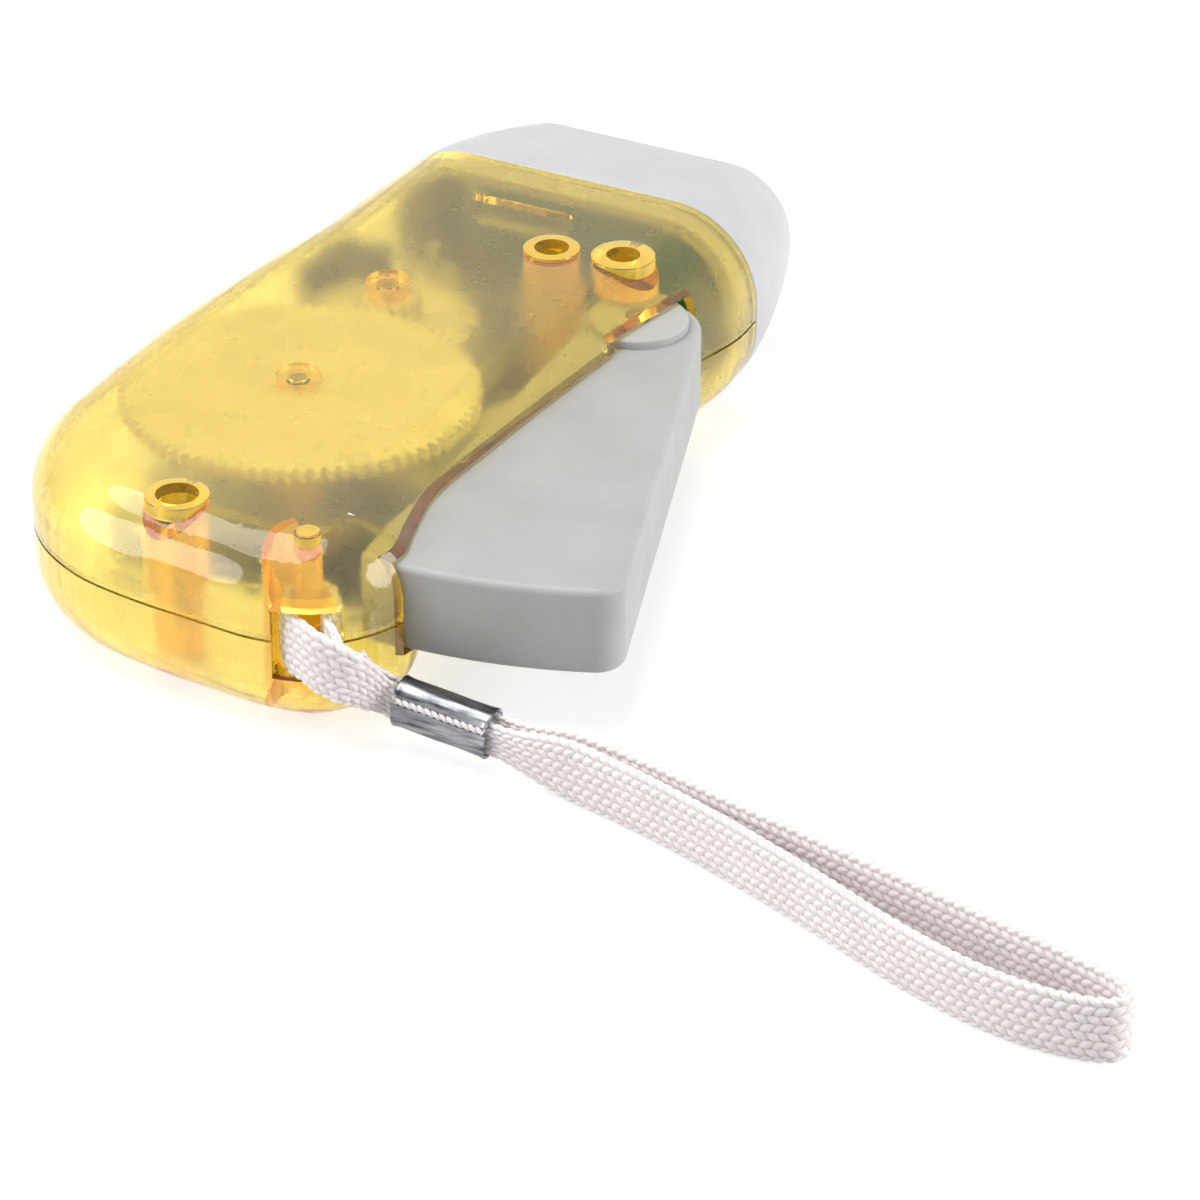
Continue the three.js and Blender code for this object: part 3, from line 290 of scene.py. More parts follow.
def ranged(tree, source, low, high, start=0.0, end=1.0):
    limits = {"From Min": start, "From Max": end, "To Min": low, "To Max": high}
    return addNode(tree, "MapRange", limits, {"Value": source}).outputs[0]


def varied(tree, shader, source, low, high):
    # roughness that wanders between two levels
    tree.links.new(ranged(tree, source, low, high, 0.3, 0.7), shader.inputs["Roughness"])


def bumped(tree, shader, source, height, strength=0.5):
    # height is the real relief in millimetres
    bump = addNode(tree, "Bump", {"Strength": strength, "Distance": height * mm}, {"Height": source})
    tree.links.new(bump.outputs[0], shader.inputs["Normal"])


# what all moulded plastics and all metals share; sizes in millimetres
mouldLook = {"flowSize": 9, "patchSize": 2.5, "smoother": 0.05, "rougher": 0.07,
             "paleEdge": "#f4f4f2", "paleEdgeRange": (0.52, 0.62)}
metalLook = {"cloudSize": 3, "smoother": 0.8, "rougher": 1.35, "lineStrength": 0.4}


def mouldedPlastic(name, light, dark, roughness, grain, relief, settings={}, edge=0.0):
    # spark-eroded mould texture: fine even grain, faint flow mottling, paler sharp edges
    material, tree, shader, _ = startFinish(name, {"IOR": 1.5, **settings})
    colour = toned(tree, mottle(tree, mouldLook["flowSize"], 4), linear(dark), linear(light))
    if edge:
        # colour turns paler towards sharp outer edges
        point = addNode(tree, "NewGeometry").outputs["Pointiness"]
        edgeShare = toned(tree, point, 0.0, edge, *mouldLook["paleEdgeRange"])
        mixed = addNode(tree, "Mix", {"data_type": "RGBA", 7: linear(mouldLook["paleEdge"])},
                        {0: edgeShare, 6: colour})
        colour = mixed.outputs[2]
    tree.links.new(colour, shader.inputs["Base Color"])
    varied(tree, shader, mottle(tree, mouldLook["patchSize"], 5),
           roughness - mouldLook["smoother"], roughness + mouldLook["rougher"])
    bumped(tree, shader, mottle(tree, grain, 2), relief)
    return material


def brightMetal(name, light, dark, roughness, grain, stretch, relief):
    # drawn, turned or rolled metal: fine lines along the way that it was worked
    material, tree, shader, _ = startFinish(name, {"Metallic": 1.0})
    lines = mottle(tree, grain, 4, stretch)
    tree.links.new(toned(tree, lines, linear(dark), linear(light)), shader.inputs["Base Color"])
    varied(tree, shader, mottle(tree, metalLook["cloudSize"], 3),
           roughness * metalLook["smoother"], roughness * metalLook["rougher"])
    bumped(tree, shader, lines, relief, metalLook["lineStrength"])
    return material


# Injection-moulded tinted polystyrene: polished outside, so it has crisp lights; fine mould
# texture inside, so what is under it looks soft; long ways through it turn orange
shellFinish = {
    "tint": "#fffbe6",
    "seeThrough": 0.97,
    "paintedPostTint": "#ffe04e",     # posts, bosses and walls get a deeper painted tint and a painted glow
    "postSeeThrough": 0.5,
    "paintedPostGlow": 0.09,
    "paintedGlowTint": "#ffc832",
    "absorption": "#fff210",
    "absorptionPerMetre": 440.0,
    "polishedRoughness": 0.05,
    "frostedRoughness": 0.27,
    "ior": 1.55,
    "hazeSize": 5,
    "hazeSpread": (0.8, 1.25),
    "rippleSize": 9,           # slow sink ripples of the moulding
    "rippleHeight": 0.02,
}


def tintedPolystyrene():
    look = shellFinish
    material, tree, shader, out = startFinish("tintedPolystyreneMoulded", {"IOR": look["ior"]})
    shader.inputs["Emission Color"].default_value = linear(look["paintedGlowTint"])
    post, frost = (addNode(tree, "Attribute", {"attribute_name": name}).outputs["Fac"]
                   for name in ("post", "frost"))
    rough = ranged(tree, frost, look["polishedRoughness"], look["frostedRoughness"])
    uneven = ranged(tree, mottle(tree, look["hazeSize"], 4), *look["hazeSpread"], 0.3, 0.7)
    both = addNode(tree, "Math", {"operation": "MULTIPLY"}, {0: rough, 1: uneven})
    followed = {
        # posts and walls get a deeper painted tint and are less see-through, and the emission paints a glow
        # on them, though they are no lamp
        "Base Color": toned(tree, post, linear(look["tint"]), linear(look["paintedPostTint"]), 0.0, 1.0),
        "Transmission Weight": ranged(tree, post, look["seeThrough"], look["postSeeThrough"]),
        "Emission Strength": ranged(tree, post, 0.0, look["paintedPostGlow"]),
        "Roughness": both.outputs[0],
    }
    for socket, source in followed.items():
        tree.links.new(source, shader.inputs[socket])
    bumped(tree, shader, mottle(tree, look["rippleSize"], 1), look["rippleHeight"], 0.2)
    depth = addNode(tree, "VolumeAbsorption", {"Color": linear(look["absorption"]),
                                               "Density": look["absorptionPerMetre"]})
    tree.links.new(depth.outputs[0], out.inputs["Volume"])
    return material


def clearPlastic(name, tint, roughness, ior, relief):
    # clear casting: slow ripples and a little unevenness in the polish
    material, tree, shader, _ = startFinish(
        name, {"Base Color": linear(tint), "IOR": ior, "Transmission Weight": 1.0})
    varied(tree, shader, mottle(tree, 1.5, 4), roughness * 0.7, roughness * 1.6)
    bumped(tree, shader, mottle(tree, 3, 2), relief, 0.3)
    return material


finishes = {
    "shell": tintedPolystyrene(),
    # moulded ABS, satin: an even cool grey with a soft sheen
    "head": mouldedPlastic("satinAbsHead", "#cbccce", "#c4c5c7", 0.38, 0.25, 0.006, edge=0.25),
    # moulded ABS with a matt grain: broad dull lights and paler corners
    "lever": mouldedPlastic("mattAbsLever", "#b6b7b5", "#afb0ad", 0.46, 0.22, 0.008, edge=0.35),
    # unfilled nylon: milky white, waxy, slightly warm
    "nylon": mouldedPlastic("waxyNylonGear", "#f6f2e4", "#ebe6d4", 0.42, 0.5, 0.006,
                            {"Subsurface Weight": 0.15, "Subsurface Radius": (0.8 * mm, 0.7 * mm, 0.5 * mm)}),
    # moulded ABS, dark brown-grey, dull
    "dark_plastic": mouldedPlastic("darkAbsInside", "#23201a", "#171510", 0.55, 0.3, 0.01),
    # PVC wire coverings, slightly shiny
    "red_insulation": mouldedPlastic("redPvcWire", "#b8291d", "#9d2218", 0.4, 0.4, 0.004),
    "black_insulation": mouldedPlastic("blackPvcWire", "#1e1e1e", "#141414", 0.42, 0.4, 0.004),
    # turned steel: fine rings read as soft streaks
    "steel": brightMetal("turnedSteel", "#c4c5c6", "#a2a4a6", 0.3, 0.25, (1, 1, 6), 0.004),
    # zinc or nickel plate over steel: brighter, smoother
    "bright_steel": brightMetal("platedSteel", "#dcdde0", "#bfc1c4", 0.2, 0.5, (1, 1, 1), 0.003),
    # nickel-plated sheet drawn into a tube: long dark and light streaks; the fine lines are the drawing, the
    # deep dark of the streaks is painted reflection
    "ferrule": brightMetal("drawnNickelPlateWithPaintedReflections", "#a6a8ac", "#45474c", 0.22, 0.8, (1, 0.12, 1), 0.008),
    # sintered ferrite: dark, gritty, hardly shines
    "magnet": mouldedPlastic("sinteredFerrite", "#55555a", "#3c3c40", 0.6, 0.2, 0.02),
    # wound enamelled wire: warm lines side by side
    "copper": brightMetal("enamelledCopperWire", "#c8783f", "#9a5227", 0.28, 0.4, (1, 1, 8), 0.03),
    # vacuum-metallised moulding: nearly a mirror, faintly wavy
    "reflector": brightMetal("vacuumMetallised", "#e2e3e6", "#d2d4d8", 0.07, 1.5, (1, 1, 1), 0.002),
    # glass-fibre board under green lacquer: the weave shows as a fine even grain
    "board": mouldedPlastic("lacqueredGlassFibre", "#2f7a46", "#256338", 0.3, 0.5, 0.01),
    # moulded ABS, pale grey, dull
    "tray": mouldedPlastic("paleAbsTray", "#aaa9a5", "#9e9d99", 0.5, 0.3, 0.008),
    # cast epoxy, clear with faint flow lines
    "lamp": clearPlastic("castEpoxyLamp", "#f6f8ff", 0.05, 1.54, 0.003),
    # polished polycarbonate with light handling marks
    "lens": clearPlastic("polishedPolycarbonate", "#f8fbfd", 0.03, 1.58, 0.002),
}
print("surfaces ready")


# Camera, floor and light
view = {
    "eye": (-0.41269, -0.25696, 0.28093),
    "ahead": (0.759755, 0.403969, -0.509492),
    "lens": 150.0,
    "sensor": 36.0,
    "nearest": 0.01,
    "farthest": 20,
}
eye = bpy.data.cameras.new("camera")
eye.lens = view["lens"]
eye.sensor_width = view["sensor"]
eye.clip_start, eye.clip_end = view["nearest"], view["farthest"]
camera = bpy.data.objects.new("camera", eye)
camera.location = view["eye"]
camera.rotation_euler = Vector(view["ahead"]).to_track_quat("-Z", "Y").to_euler()
bpy.context.scene.collection.objects.link(camera)
bpy.context.scene.camera = camera
bpy.context.scene.view_settings.view_transform = "Standard"

lights = {
    # name: (place from the middle of the torch, metres; size, metres; watts)
    "overhead": ((-0.1, 0.35, 1.2), 1.2, 13.5),
    "leverSide": ((0.3, -1.15, 0.38), 0.9, 12.0),
    "rearSide": ((-0.8, 0.9, 0.45), 0.9, 8.5),
}
for name, (spot, size, watts) in lights.items():
    lamp = bpy.data.lights.new(name, "AREA")
    lamp.shape = "DISK"
    lamp.size = size
    lamp.energy = watts
    holder = bpy.data.objects.new(name, lamp)
    holder.location = spot
    holder.rotation_euler = (-Vector(spot)).to_track_quat("-Z", "Y").to_euler()
    bpy.context.scene.collection.objects.link(holder)


def levelSeen(tree, otherwise, plain, through):
    # one level for camera and gloss rays, one for rays through a clear surface, one for all others
    path = addNode(tree, "LightPath").outputs
    either = addNode(tree, "Math", {"operation": "MAXIMUM"},
                     {0: path["Is Camera Ray"], 1: path["Is Glossy Ray"]})
    seen = ranged(tree, either.outputs[0], otherwise, plain)
    lit = ranged(tree, path["Is Transmission Ray"], 0.0, through)
    return addNode(tree, "Math", {"operation": "MAXIMUM"}, {0: seen, 1: lit}).outputs[0]


backdrop = {"worldLight": 0.15, "floor": "#cfcfcf", "floorLift": 0.66, "floorReach": 9000, "floorTop": -0.05}


def clearedTree(holder):
    holder.use_nodes = True
    holder.node_tree.nodes.clear()
    return holder.node_tree


def makeBackdrop():
    world = bpy.data.worlds.new("studio")
    bpy.context.scene.world = world
    tree = clearedTree(world)
    level = levelSeen(tree, backdrop["worldLight"], 1.0, 1.0)
    sky = addNode(tree, "Background", {"Color": (1, 1, 1, 1)}, {"Strength": level})
    addNode(tree, "OutputWorld", {}, {"Surface": sky.outputs[0]})

    far, top = backdrop["floorReach"], backdrop["floorTop"]
    corners = [(-far, -far, top), (far, -far, top), (far, far, top), (-far, far, top)]
    floor = newObject("floor", corners, [(0, 1, 2, 3)], smooth=False)
    material = bpy.data.materials.new("paleTable")
    tree = clearedTree(material)
    matt = addNode(tree, "BsdfDiffuse", {"Color": linear(backdrop["floor"])})
    lift = levelSeen(tree, 0.0, backdrop["floorLift"], 1.0)
    glow = addNode(tree, "Emission", {"Color": (1, 1, 1, 1)}, {"Strength": lift})
    both = addNode(tree, "AddShader", {}, {0: matt.outputs[0], 1: glow.outputs[0]})
    addNode(tree, "OutputMaterial", {}, {"Surface": both.outputs[0]})
    floor.data.materials.append(material)


makeBackdrop()
print("camera, floor and lights ready")


# Wrist strap: a flat tubular braid on edge, round the post, through the ferrule and back
strap = {
    "width": 7.6,
    "thick": 1.6,
    "squeezedWidth": 4.2,
    "squeezedThick": 1.3,
    "centreHeight": 11.6,
    "postOffset": 2.55,
    "yarnPitch": 1.3,       # millimetres from bead to bead along the braid
    "samplesPerYarn": 8,
    "yarnsAround": 16,      # rows of beads, an even number
    "samplesAround": 112,
    "relief": 0.3,
    "reliefInset": 0.6,     # share of the relief that lies inside the width and thickness
    "beadSlant": 0.45,
    "section": ((3.6, 0.55), (0.7, 0.75)),  # half size and roundness, upright and sideways
    "wrapOut": (21.6, -65),
    "wrapBack": (115, 28.4),
    "squeezeFrom": 1.1,     # in half lengths of the ferrule from its middle
    "freeLoop": 3.0,
    "freeMouth": 2.7,
    "yarn": "#fdf6f5",
    # gap is the colour of the painted shade between the beads
    "gap": "#c2b5b0",
}
strapOut = [
    (-31.2, -21.9, 11.5), (-33, -23.3, 11.2), (-33.5, -24.4, 10.1), (-32.7, -25.2, 8.6),
    (-31.5, -26, 7.5), (-30.5, -27.3, 6.7), (-29.8, -28.7, 6.15), (-29.5, -29.95, 5.85),
    (-29.2, -35.35, 5.18), (-28.9, -40.75, 4.5), (-29.1, -45, 4.1),
    (-29.6, -51, 3.9), (-31, -59.8, 3.85), (-33.1, -69, 3.85),
    (-35.3, -79.5, 3.85), (-37.8, -91, 3.85), (-40.4, -102.8, 3.85), (-42.5, -112, 3.85),
    (-43.9, -116.6, 3.85), (-45.4, -118.6, 3.85), (-47.2, -118.2, 3.85),
]
strapBack = [
    (-48.3, -115.8, 3.85), (-48.9, -110.5, 3.85), (-48.1, -103.5, 3.85), (-45.7, -95, 3.85),
    (-40.8, -82.5, 3.85), (-36, -69, 3.85), (-33, -58.5, 3.85), (-31.4, -50.5, 3.9),
    (-30.9, -45, 4.1), (-30.7, -40.85, 4.5), (-31, -35.45, 5.18), (-31.3, -30.05, 5.85),
    (-31.6, -29, 6.5), (-32.5, -28, 7.4), (-33.6, -27.2, 8.6), (-34.8, -26.1, 9.8),
    (-35.2, -24.4, 10.6), (-35.1, -22.7, 11.1), (-34.3, -20.5, 11.4), (-33.4, -18.4, 11.5),
]
ferruleEnds = np.array([(-30.4, -30.0, 5.85), (-29.8, -40.8, 4.5)])


def strapWrap(start, end):
    # a quarter turn or so round the post, between two directions in degrees
    return [polar(places["strapPost"], strap["postOffset"], start + (end - start) * step / 3)
            + (strap["centreHeight"],) for step in range(4)]


def squeezeAt(points):
    # one inside the ferrule, none where the braid is free again
    middle = ferruleEnds.mean(0)
    halfLength = np.linalg.norm(ferruleEnds[1] - ferruleEnds[0]) / 2
    away = np.linalg.norm(points - middle, axis=1) / halfLength
    free = np.where(points[:, 1] < middle[1], strap["freeLoop"], strap["freeMouth"])
    return 1 - smoothStep(away, strap["squeezeFrom"], free)


def bandFrames(points):
    ahead = np.gradient(points, axis=0)
    ahead /= np.linalg.norm(ahead, axis=1)[:, None]
    side = np.cross(ahead, (0, 0, 1))
    side /= np.linalg.norm(side, axis=1)[:, None]
    return ahead, side, np.cross(side, ahead)


def braidHeight(across, along):
    # relief of the braid: rows of yarn beads, each row half a bead on and slanted the other way
    row = np.floor(across)
    aside = across % 1 - 0.5
    slant = np.where(row % 2 == 0, strap["beadSlant"], -strap["beadSlant"])
    ahead = (along + row / 2 + slant * aside) % 1 - 0.5
    return np.clip(1 - (aside * 1.7) ** 2, 0, 1) * np.clip(1 - (ahead * 2) ** 2, 0, 1) ** 0.7


def makeStrap():
    route = strapWrap(*strap["wrapOut"]) + strapOut + strapBack + strapWrap(*strap["wrapBack"])
    dense = curveThrough(route, False)
    whole = np.linalg.norm(np.diff(dense, axis=0), axis=1).sum()
    yarns = round(whole / strap["yarnPitch"])
    points, _ = evenly(dense, yarns * strap["samplesPerYarn"])
    _, side, up = bandFrames(points)
    squeeze = squeezeAt(points)
    inset = strap["relief"] * strap["reliefInset"]
    halfWidth = (strap["width"] + (strap["squeezedWidth"] - strap["width"]) * squeeze) / 2 - inset
    halfThick = (strap["thick"] + (strap["squeezedThick"] - strap["thick"]) * squeeze) / 2 - inset
    around = strap["samplesAround"]
    # points at equal distances round a section with rounded ends
    (tall, tallPower), (deep, deepPower) = strap["section"]
    oval = []
    for turn in np.linspace(0, 2 * math.pi, 721):
        c, s = math.cos(turn), math.sin(turn)
        oval.append((np.sign(c) * abs(c) ** tallPower * tall, np.sign(s) * abs(s) ** deepPower * deep))
    section, _ = evenly(np.array(oval), around)
    section = section[:-1] / (tall, deep)
    across = np.arange(around) / around * strap["yarnsAround"]
    along = np.arange(len(points)) / strap["samplesPerYarn"]
    height = braidHeight(across[None, :], along[:, None])
    outward = section / (tall, deep)
    outward /= np.linalg.norm(outward, axis=1)[:, None]
    lift = (height - 0.5) * strap["relief"]
    upward = section[None, :, 0] * halfWidth[:, None] + outward[None, :, 0] * lift
    sideways = section[None, :, 1] * halfThick[:, None] + outward[None, :, 1] * lift
    skin = points[:, None] + up[:, None] * upward[..., None] + side[:, None] * sideways[..., None]
    braid = ringStack("wrist_strap_braid", skin)
    shade = braid.data.attributes.new("yarnHeight", "FLOAT", "POINT")
    shade.data.foreach_set("value", height.ravel().astype(np.float32))
    return braid, points, whole


def wovenPolyester():
    # flat-braided polyester: soft dull beads of yarn, with painted shade in the gaps between
    sheen = {"Sheen Weight": 0.25, "Sheen Roughness": 0.4}
    material, tree, shader, _ = startFinish("braidedPolyester", sheen)
    height = addNode(tree, "Attribute", {"attribute_name": "yarnHeight"}).outputs["Fac"]
    # the gaps between beads get painted shade, the bead tops the yarn's own colour
    beadToneWithPaintedShade = toned(tree, height, linear(strap["gap"]), linear(strap["yarn"]), 0.0, 0.4)
    cloud = toned(tree, mottle(tree, 4, 3), 0.93, 1.0, 0.3, 0.7)
    mixed = addNode(tree, "Mix", {"data_type": "RGBA", "blend_type": "MULTIPLY", 0: 1.0}, {6: beadToneWithPaintedShade, 7: cloud})
    tree.links.new(mixed.outputs[2], shader.inputs["Base Color"])
    varied(tree, shader, mottle(tree, 1, 3), 0.7, 0.9)
    bumped(tree, shader, mottle(tree, 0.2, 2), 0.03, 0.6)  # single filaments, drawn coarser to show
    return material


strapBraid, strapLine, strapLength = makeStrap()
finishes["braid"] = wovenPolyester()
dress(strapBraid, "housing", "braid", "wrist_strap")
print("strap ready,", round(strapLength), "mm")


# Ferrule: plated sheet rolled round both strands, its edges meeting on the camera's side
ferrule = {
    "high": 5.7,
    "wide": 4.6,
    "sheet": 0.35,
    "slit": 0.75,         # millimetres of braid showing between the edges
    "slitHeight": 1.1,    # above the ferrule's middle
    "yarnRadius": 0.26,
    "yarnSink": 0.45,     # how deep the twist lies in the slit
    "yarnEnd": 0.4,
    "twistPitch": 1.7,
    "flare": 0.12,
    "lip": 0.12,
    "lipShare": 0.012,    # shares of the length that the rounded lip and the flare take
    "flareShare": 0.06,
    "squareness": 0.82,
    "dents": 0.05,
    "stations": (0, 0.012, 0.04, 0.1, 0.3, 0.5, 0.7, 0.9, 0.96, 0.988, 1),
}


def ferruleAxes():
    # its ends, the directions ahead, sideways and up, and the turn at which the slit lies
    start, end = ferruleEnds
    ahead = (end - start) / np.linalg.norm(end - start)
    side = np.cross(ahead, (0, 0, 1))
    side /= np.linalg.norm(side)
    turn = math.asin(ferrule["slitHeight"] / (ferrule["high"] / 2))
    return start, end, ahead, side, np.cross(side, ahead), turn


def makeFerrule():
    start, end, _, side, up, slitTurn = ferruleAxes()
    halfSlit = ferrule["slit"] / (ferrule["wide"] / 2) / 2
    power, flared = ferrule["squareness"], ferrule["flare"]
    turns = np.linspace(slitTurn + halfSlit, slitTurn + 2 * math.pi - halfSlit, 61)
    rings = []
    for share in ferrule["stations"]:
        fromEnd = min(share, 1 - share)
        lipRound = ferrule["lip"] * max(0, 1 - fromEnd / ferrule["lipShare"])
        flare = flared * max(0, 1 - fromEnd / ferrule["flareShare"])
        ring = []
        for inset, order in ((0.0, 1), (ferrule["sheet"], -1)):
            for turn in turns[::order]:
                c, s = math.cos(turn), math.sin(turn)
                shrink = inset - flare + (lipRound if inset == 0 else -lipRound)
                sideways = np.sign(c) * abs(c) ** power * (ferrule["wide"] / 2 - shrink - flared)
                upward = np.sign(s) * abs(s) ** power * (ferrule["high"] / 2 - shrink - flared)
                wobble = ferrule["dents"] * math.sin(3 * turn + 11 * share)
                ring.append(start + (end - start) * share + side * (sideways + wobble) + up * upward)
        rings.append(ring)
    return smoothByAngle(ringStack("strap_ferrule_sheet", rings), 50)


def makeTwist():
    # two ends of yarn twisted together, which the sheet's edges pinch
    start, end, ahead, side, up, turn = ferruleAxes()
    power, radius = ferrule["squareness"], ferrule["yarnRadius"]
    out = side * math.cos(turn) + up * math.sin(turn)
    middle = (side * (ferrule["wide"] / 2 - ferrule["yarnSink"]) * math.cos(turn) ** power
              + up * ferrule["high"] / 2 * 0.86 * math.sin(turn) ** power)
    across = np.cross(ahead, out)
    length = np.linalg.norm(end - start) - ferrule["yarnEnd"]
    reach = np.linspace(ferrule["yarnEnd"], length, 120)[:, None]
    angle = reach / ferrule["twistPitch"] * 2 * math.pi
    ends = []
    for half in (0, math.pi):
        turning = out * np.cos(angle + half) + across * np.sin(angle + half)
        ends.append(rod("yarn_end", start + middle + ahead * reach + turning * radius * 0.8, radius, 10))
    # the ends pass through each other a little, so they are only put together, not cut
    both = ends[0]
    joined = bmesh.new()
    for piece in ends:
        joined.from_mesh(piece.data)
    joined.to_mesh(both.data)
    joined.free()
    bpy.data.objects.remove(ends[1])
    both.name = "strap_yarn_twist"
    height = both.data.attributes.new("yarnHeight", "FLOAT", "POINT")
    height.data.foreach_set("value", np.full(len(both.data.vertices), 0.8, np.float32))
    return both


def rod(name, points, radius, sides=14):
    # round wire along a smooth line
    _, side, up = bandFrames(np.array(points))
    turns = np.arange(sides) / sides * 2 * math.pi
    across, upward = np.cos(turns)[:, None], np.sin(turns)[:, None]
    rings = [p + radius * (across * s + upward * u) for p, s, u in zip(points, side, up)]
    return ringStack(name, rings)


ferruleSheet = makeFerrule()
dress(makeTwist(), "housing", "braid")
dress(ferruleSheet, "housing", "ferrule", "strap_ferrule")
print("ferrule ready")


# Housing: two thin see-through halves with posts, bosses and ribs moulded in
housing = {
    "rearReach": 35.5888,
    "seamReach": 53.1751,
    "sideReach": 22.575,
    "leverSideReach": 29.9891,
    "splitHeight": 12.0,
    "rearTop": 22.0,
    "roofRise": 3.0,
    "wall": 1.5,
    "gap": 0.3,
    "upperRound": 7.5,
    "lowerRound": 8.3,
    "headRound": 11.0,
    "planSteps": 240,
    "roundSteps": 14,
    "edgeRadius": 0.22,
    "bossProud": 0.2,
    "bossEdge": 0.15,
    "trimSkin": 0.02,
}
planLength = housing["rearReach"] + housing["seamReach"]
planWidth = housing["sideReach"] + housing["leverSideReach"]
# outline as shares of length and width, from the lever side of the seam backward round the rear
planShares = [
    (1, 0.004), (0.941, 0), (0.863, 0.027), (0.784, 0.059), (0.705, 0.084), (0.57, 0.099),
    (0.401, 0.108), (0.277, 0.107), (0.198, 0.072), (0.131, 0.04), (0.063, 0.084), (0.018, 0.16),
    (0, 0.276), (0.003, 0.419), (0.01, 0.58), (0.027, 0.723), (0.069, 0.852), (0.131, 0.944),
    (0.21, 0.993), (0.3, 1), (0.424, 0.998), (0.559, 0.98), (0.672, 0.957), (0.773, 0.942),
    (0.891, 0.946), (1, 0.94), (1.122, 0.93), (1.258, 0.818), (1.314, 0.472), (1.258, 0.133), (1.122, 0.015),
]


def samplePlan():
    corners = [(a * planLength - housing["rearReach"], c * planWidth - housing["leverSideReach"])
               for a, c in planShares]
    points, _ = evenly(curveThrough(corners[::-1], True, 40), housing["planSteps"])
    points = points[:-1]
    ahead = np.roll(points, -1, 0) - np.roll(points, 1, 0)
    ahead /= np.linalg.norm(ahead, axis=1)[:, None]
    return points, np.stack([-ahead[:, 1], ahead[:, 0]], 1)


planPoints, planInward = samplePlan()


def roofAt(x):
    return housing["rearTop"] + housing["roofRise"] * (x + housing["rearReach"]) / planLength


def roundAt(x, base):
    return base + (housing["headRound"] - base) * smoothStep(x, 19.5, housing["seamReach"])


def halfRings(isUpper, skin, rim):
    # rings from the split line over the rounding; skin is how far inside the surface they lie
    flat = planPoints + planInward * skin
    rings = [np.column_stack([flat, np.full(len(flat), rim)])]
    for turn in np.linspace(0, math.pi / 2, housing["roundSteps"] + 1):
        base = roundAt(planPoints[:, 0], housing["upperRound" if isUpper else "lowerRound"]) - skin
        inset = skin + base * (1 - math.cos(turn))
        drop = skin + base * (1 - math.sin(turn))
        flat = planPoints + planInward * inset[:, None]
        height = roofAt(flat[:, 0]) - drop if isUpper else drop
        rings.append(np.column_stack([flat, height]))
    return rings


def halfSolid(name, isUpper, skin, rim):
    return cutUp(ringStack(name, halfRings(isUpper, skin, rim)))


def sector(centre, inner, outer, start, span, bottom, top, steps=24):
    # wedge or curved wall between two radii
    turns = [start + span * i / steps for i in range(steps + 1)]
    outside = [polar(centre, outer, t) for t in turns]
    inside = [polar(centre, inner, t) for t in reversed(turns)] if inner else [centre]
    return raised("sector", outside + inside, bottom, top)


def pin(spot, radius, bottom, top, sides=56):
    return turned("pin", spot, [(radius, bottom), (radius, top)], sides)


strapMouth = {"degrees": 205, "halfWidth": 3.65, "halfHeight": 4.1, "length": 18.6}


def strapSlot():
    # straight opening in the rear corner for both strands
    direction = math.radians(strapMouth["degrees"])
    halfWidth, halfHeight, length = (strapMouth[key] for key in ("halfWidth", "halfHeight", "length"))
    ahead = np.array([math.cos(direction), math.sin(direction)])
    aside = np.array([-ahead[1], ahead[0]])
    post = np.array(places["strapPost"])
    outline = [post + aside * -halfWidth, post + ahead * length - aside * halfWidth,
               post + ahead * length + aside * halfWidth, post + aside * halfWidth]
    return raised("slot", [tuple(p) for p in outline], strap["centreHeight"] - halfHeight,
                  strap["centreHeight"] + halfHeight)


def aheadOfSeam():
    return brick("front", (housing["seamReach"], -200, -200), (250, 200, 200))


# how far from each place the painted glow of its post or wall runs, millimetres
paintedGlowReach = {
    "frontScrew": (2.1, 3.36), "rearScrew": (2.45, 3.56), "blindBoss": (2.05, 3.76), "strapPost": (3.6, 4.8),
    "main": (1.3, 2.56), "idler": (1.3, 2.56), "pip": (0, 1.6),
}


def paintedGlowOf(face):
    # one on the upright faces round a post and on the top of a ring that stands proud, where the glow is
    # painted
    spot = face.center / mm
    isProud = face.normal.z > 0.9 and spot.z > roofAt(spot.x) + 0.1
    for name, (low, high) in paintedGlowReach.items():
        out = Vector((spot.x - places[name][0], spot.y - places[name][1], 0))
        isUpright = abs(face.normal.z) < 0.3 and abs(face.normal.dot(out.normalized())) > 0.9
        if low < out.length < high and (isProud or isUpright):
            return 1.0
    return 0.0


leverArea = {"reach": 60.1, "nose": 7.8, "bottom": 7.9, "lip": 18.9, "arch": 20.0, "start": 162, "span": 54}
gearPocket = {"radius": 20.275, "bottom": 18.6, "top": 20.6}


def markFrost(shell, hollow, isUpper):
    # faces that follow the inside of the mould get the fine texture, and posts and walls their painted glow
    inside = BVHTree.FromPolygons([v.co for v in hollow.vertices], [p.vertices for p in hollow.polygons])
    frost = shell.data.attributes.new("frost", "FLOAT", "FACE")
    near = 0.02
    values = []
    for face in shell.data.polygons:
        found = inside.find_nearest(face.center)
        spot = face.center / mm
        flat = roofAt(spot.x) - housing["wall"] if isUpper else housing["wall"]
        isFlat = abs(spot.z - flat) < near
        isNear = found[3] is not None and found[3] < near * mm
        isPocket = (isUpper and spot.z > gearPocket["bottom"] - 0.1
                    and abs(spot.xy.length - gearPocket["radius"]) < 0.1)
        values.append(1.0 if isFlat or isNear or isPocket else 0.0)
    frost.data.foreach_set("value", np.array(values, np.float32))
    # post marks the faces that get the painted glow and painted tint
    post = shell.data.attributes.new("post", "FLOAT", "FACE")
    post.data.foreach_set("value", np.array([paintedGlowOf(face) for face in shell.data.polygons], np.float32))


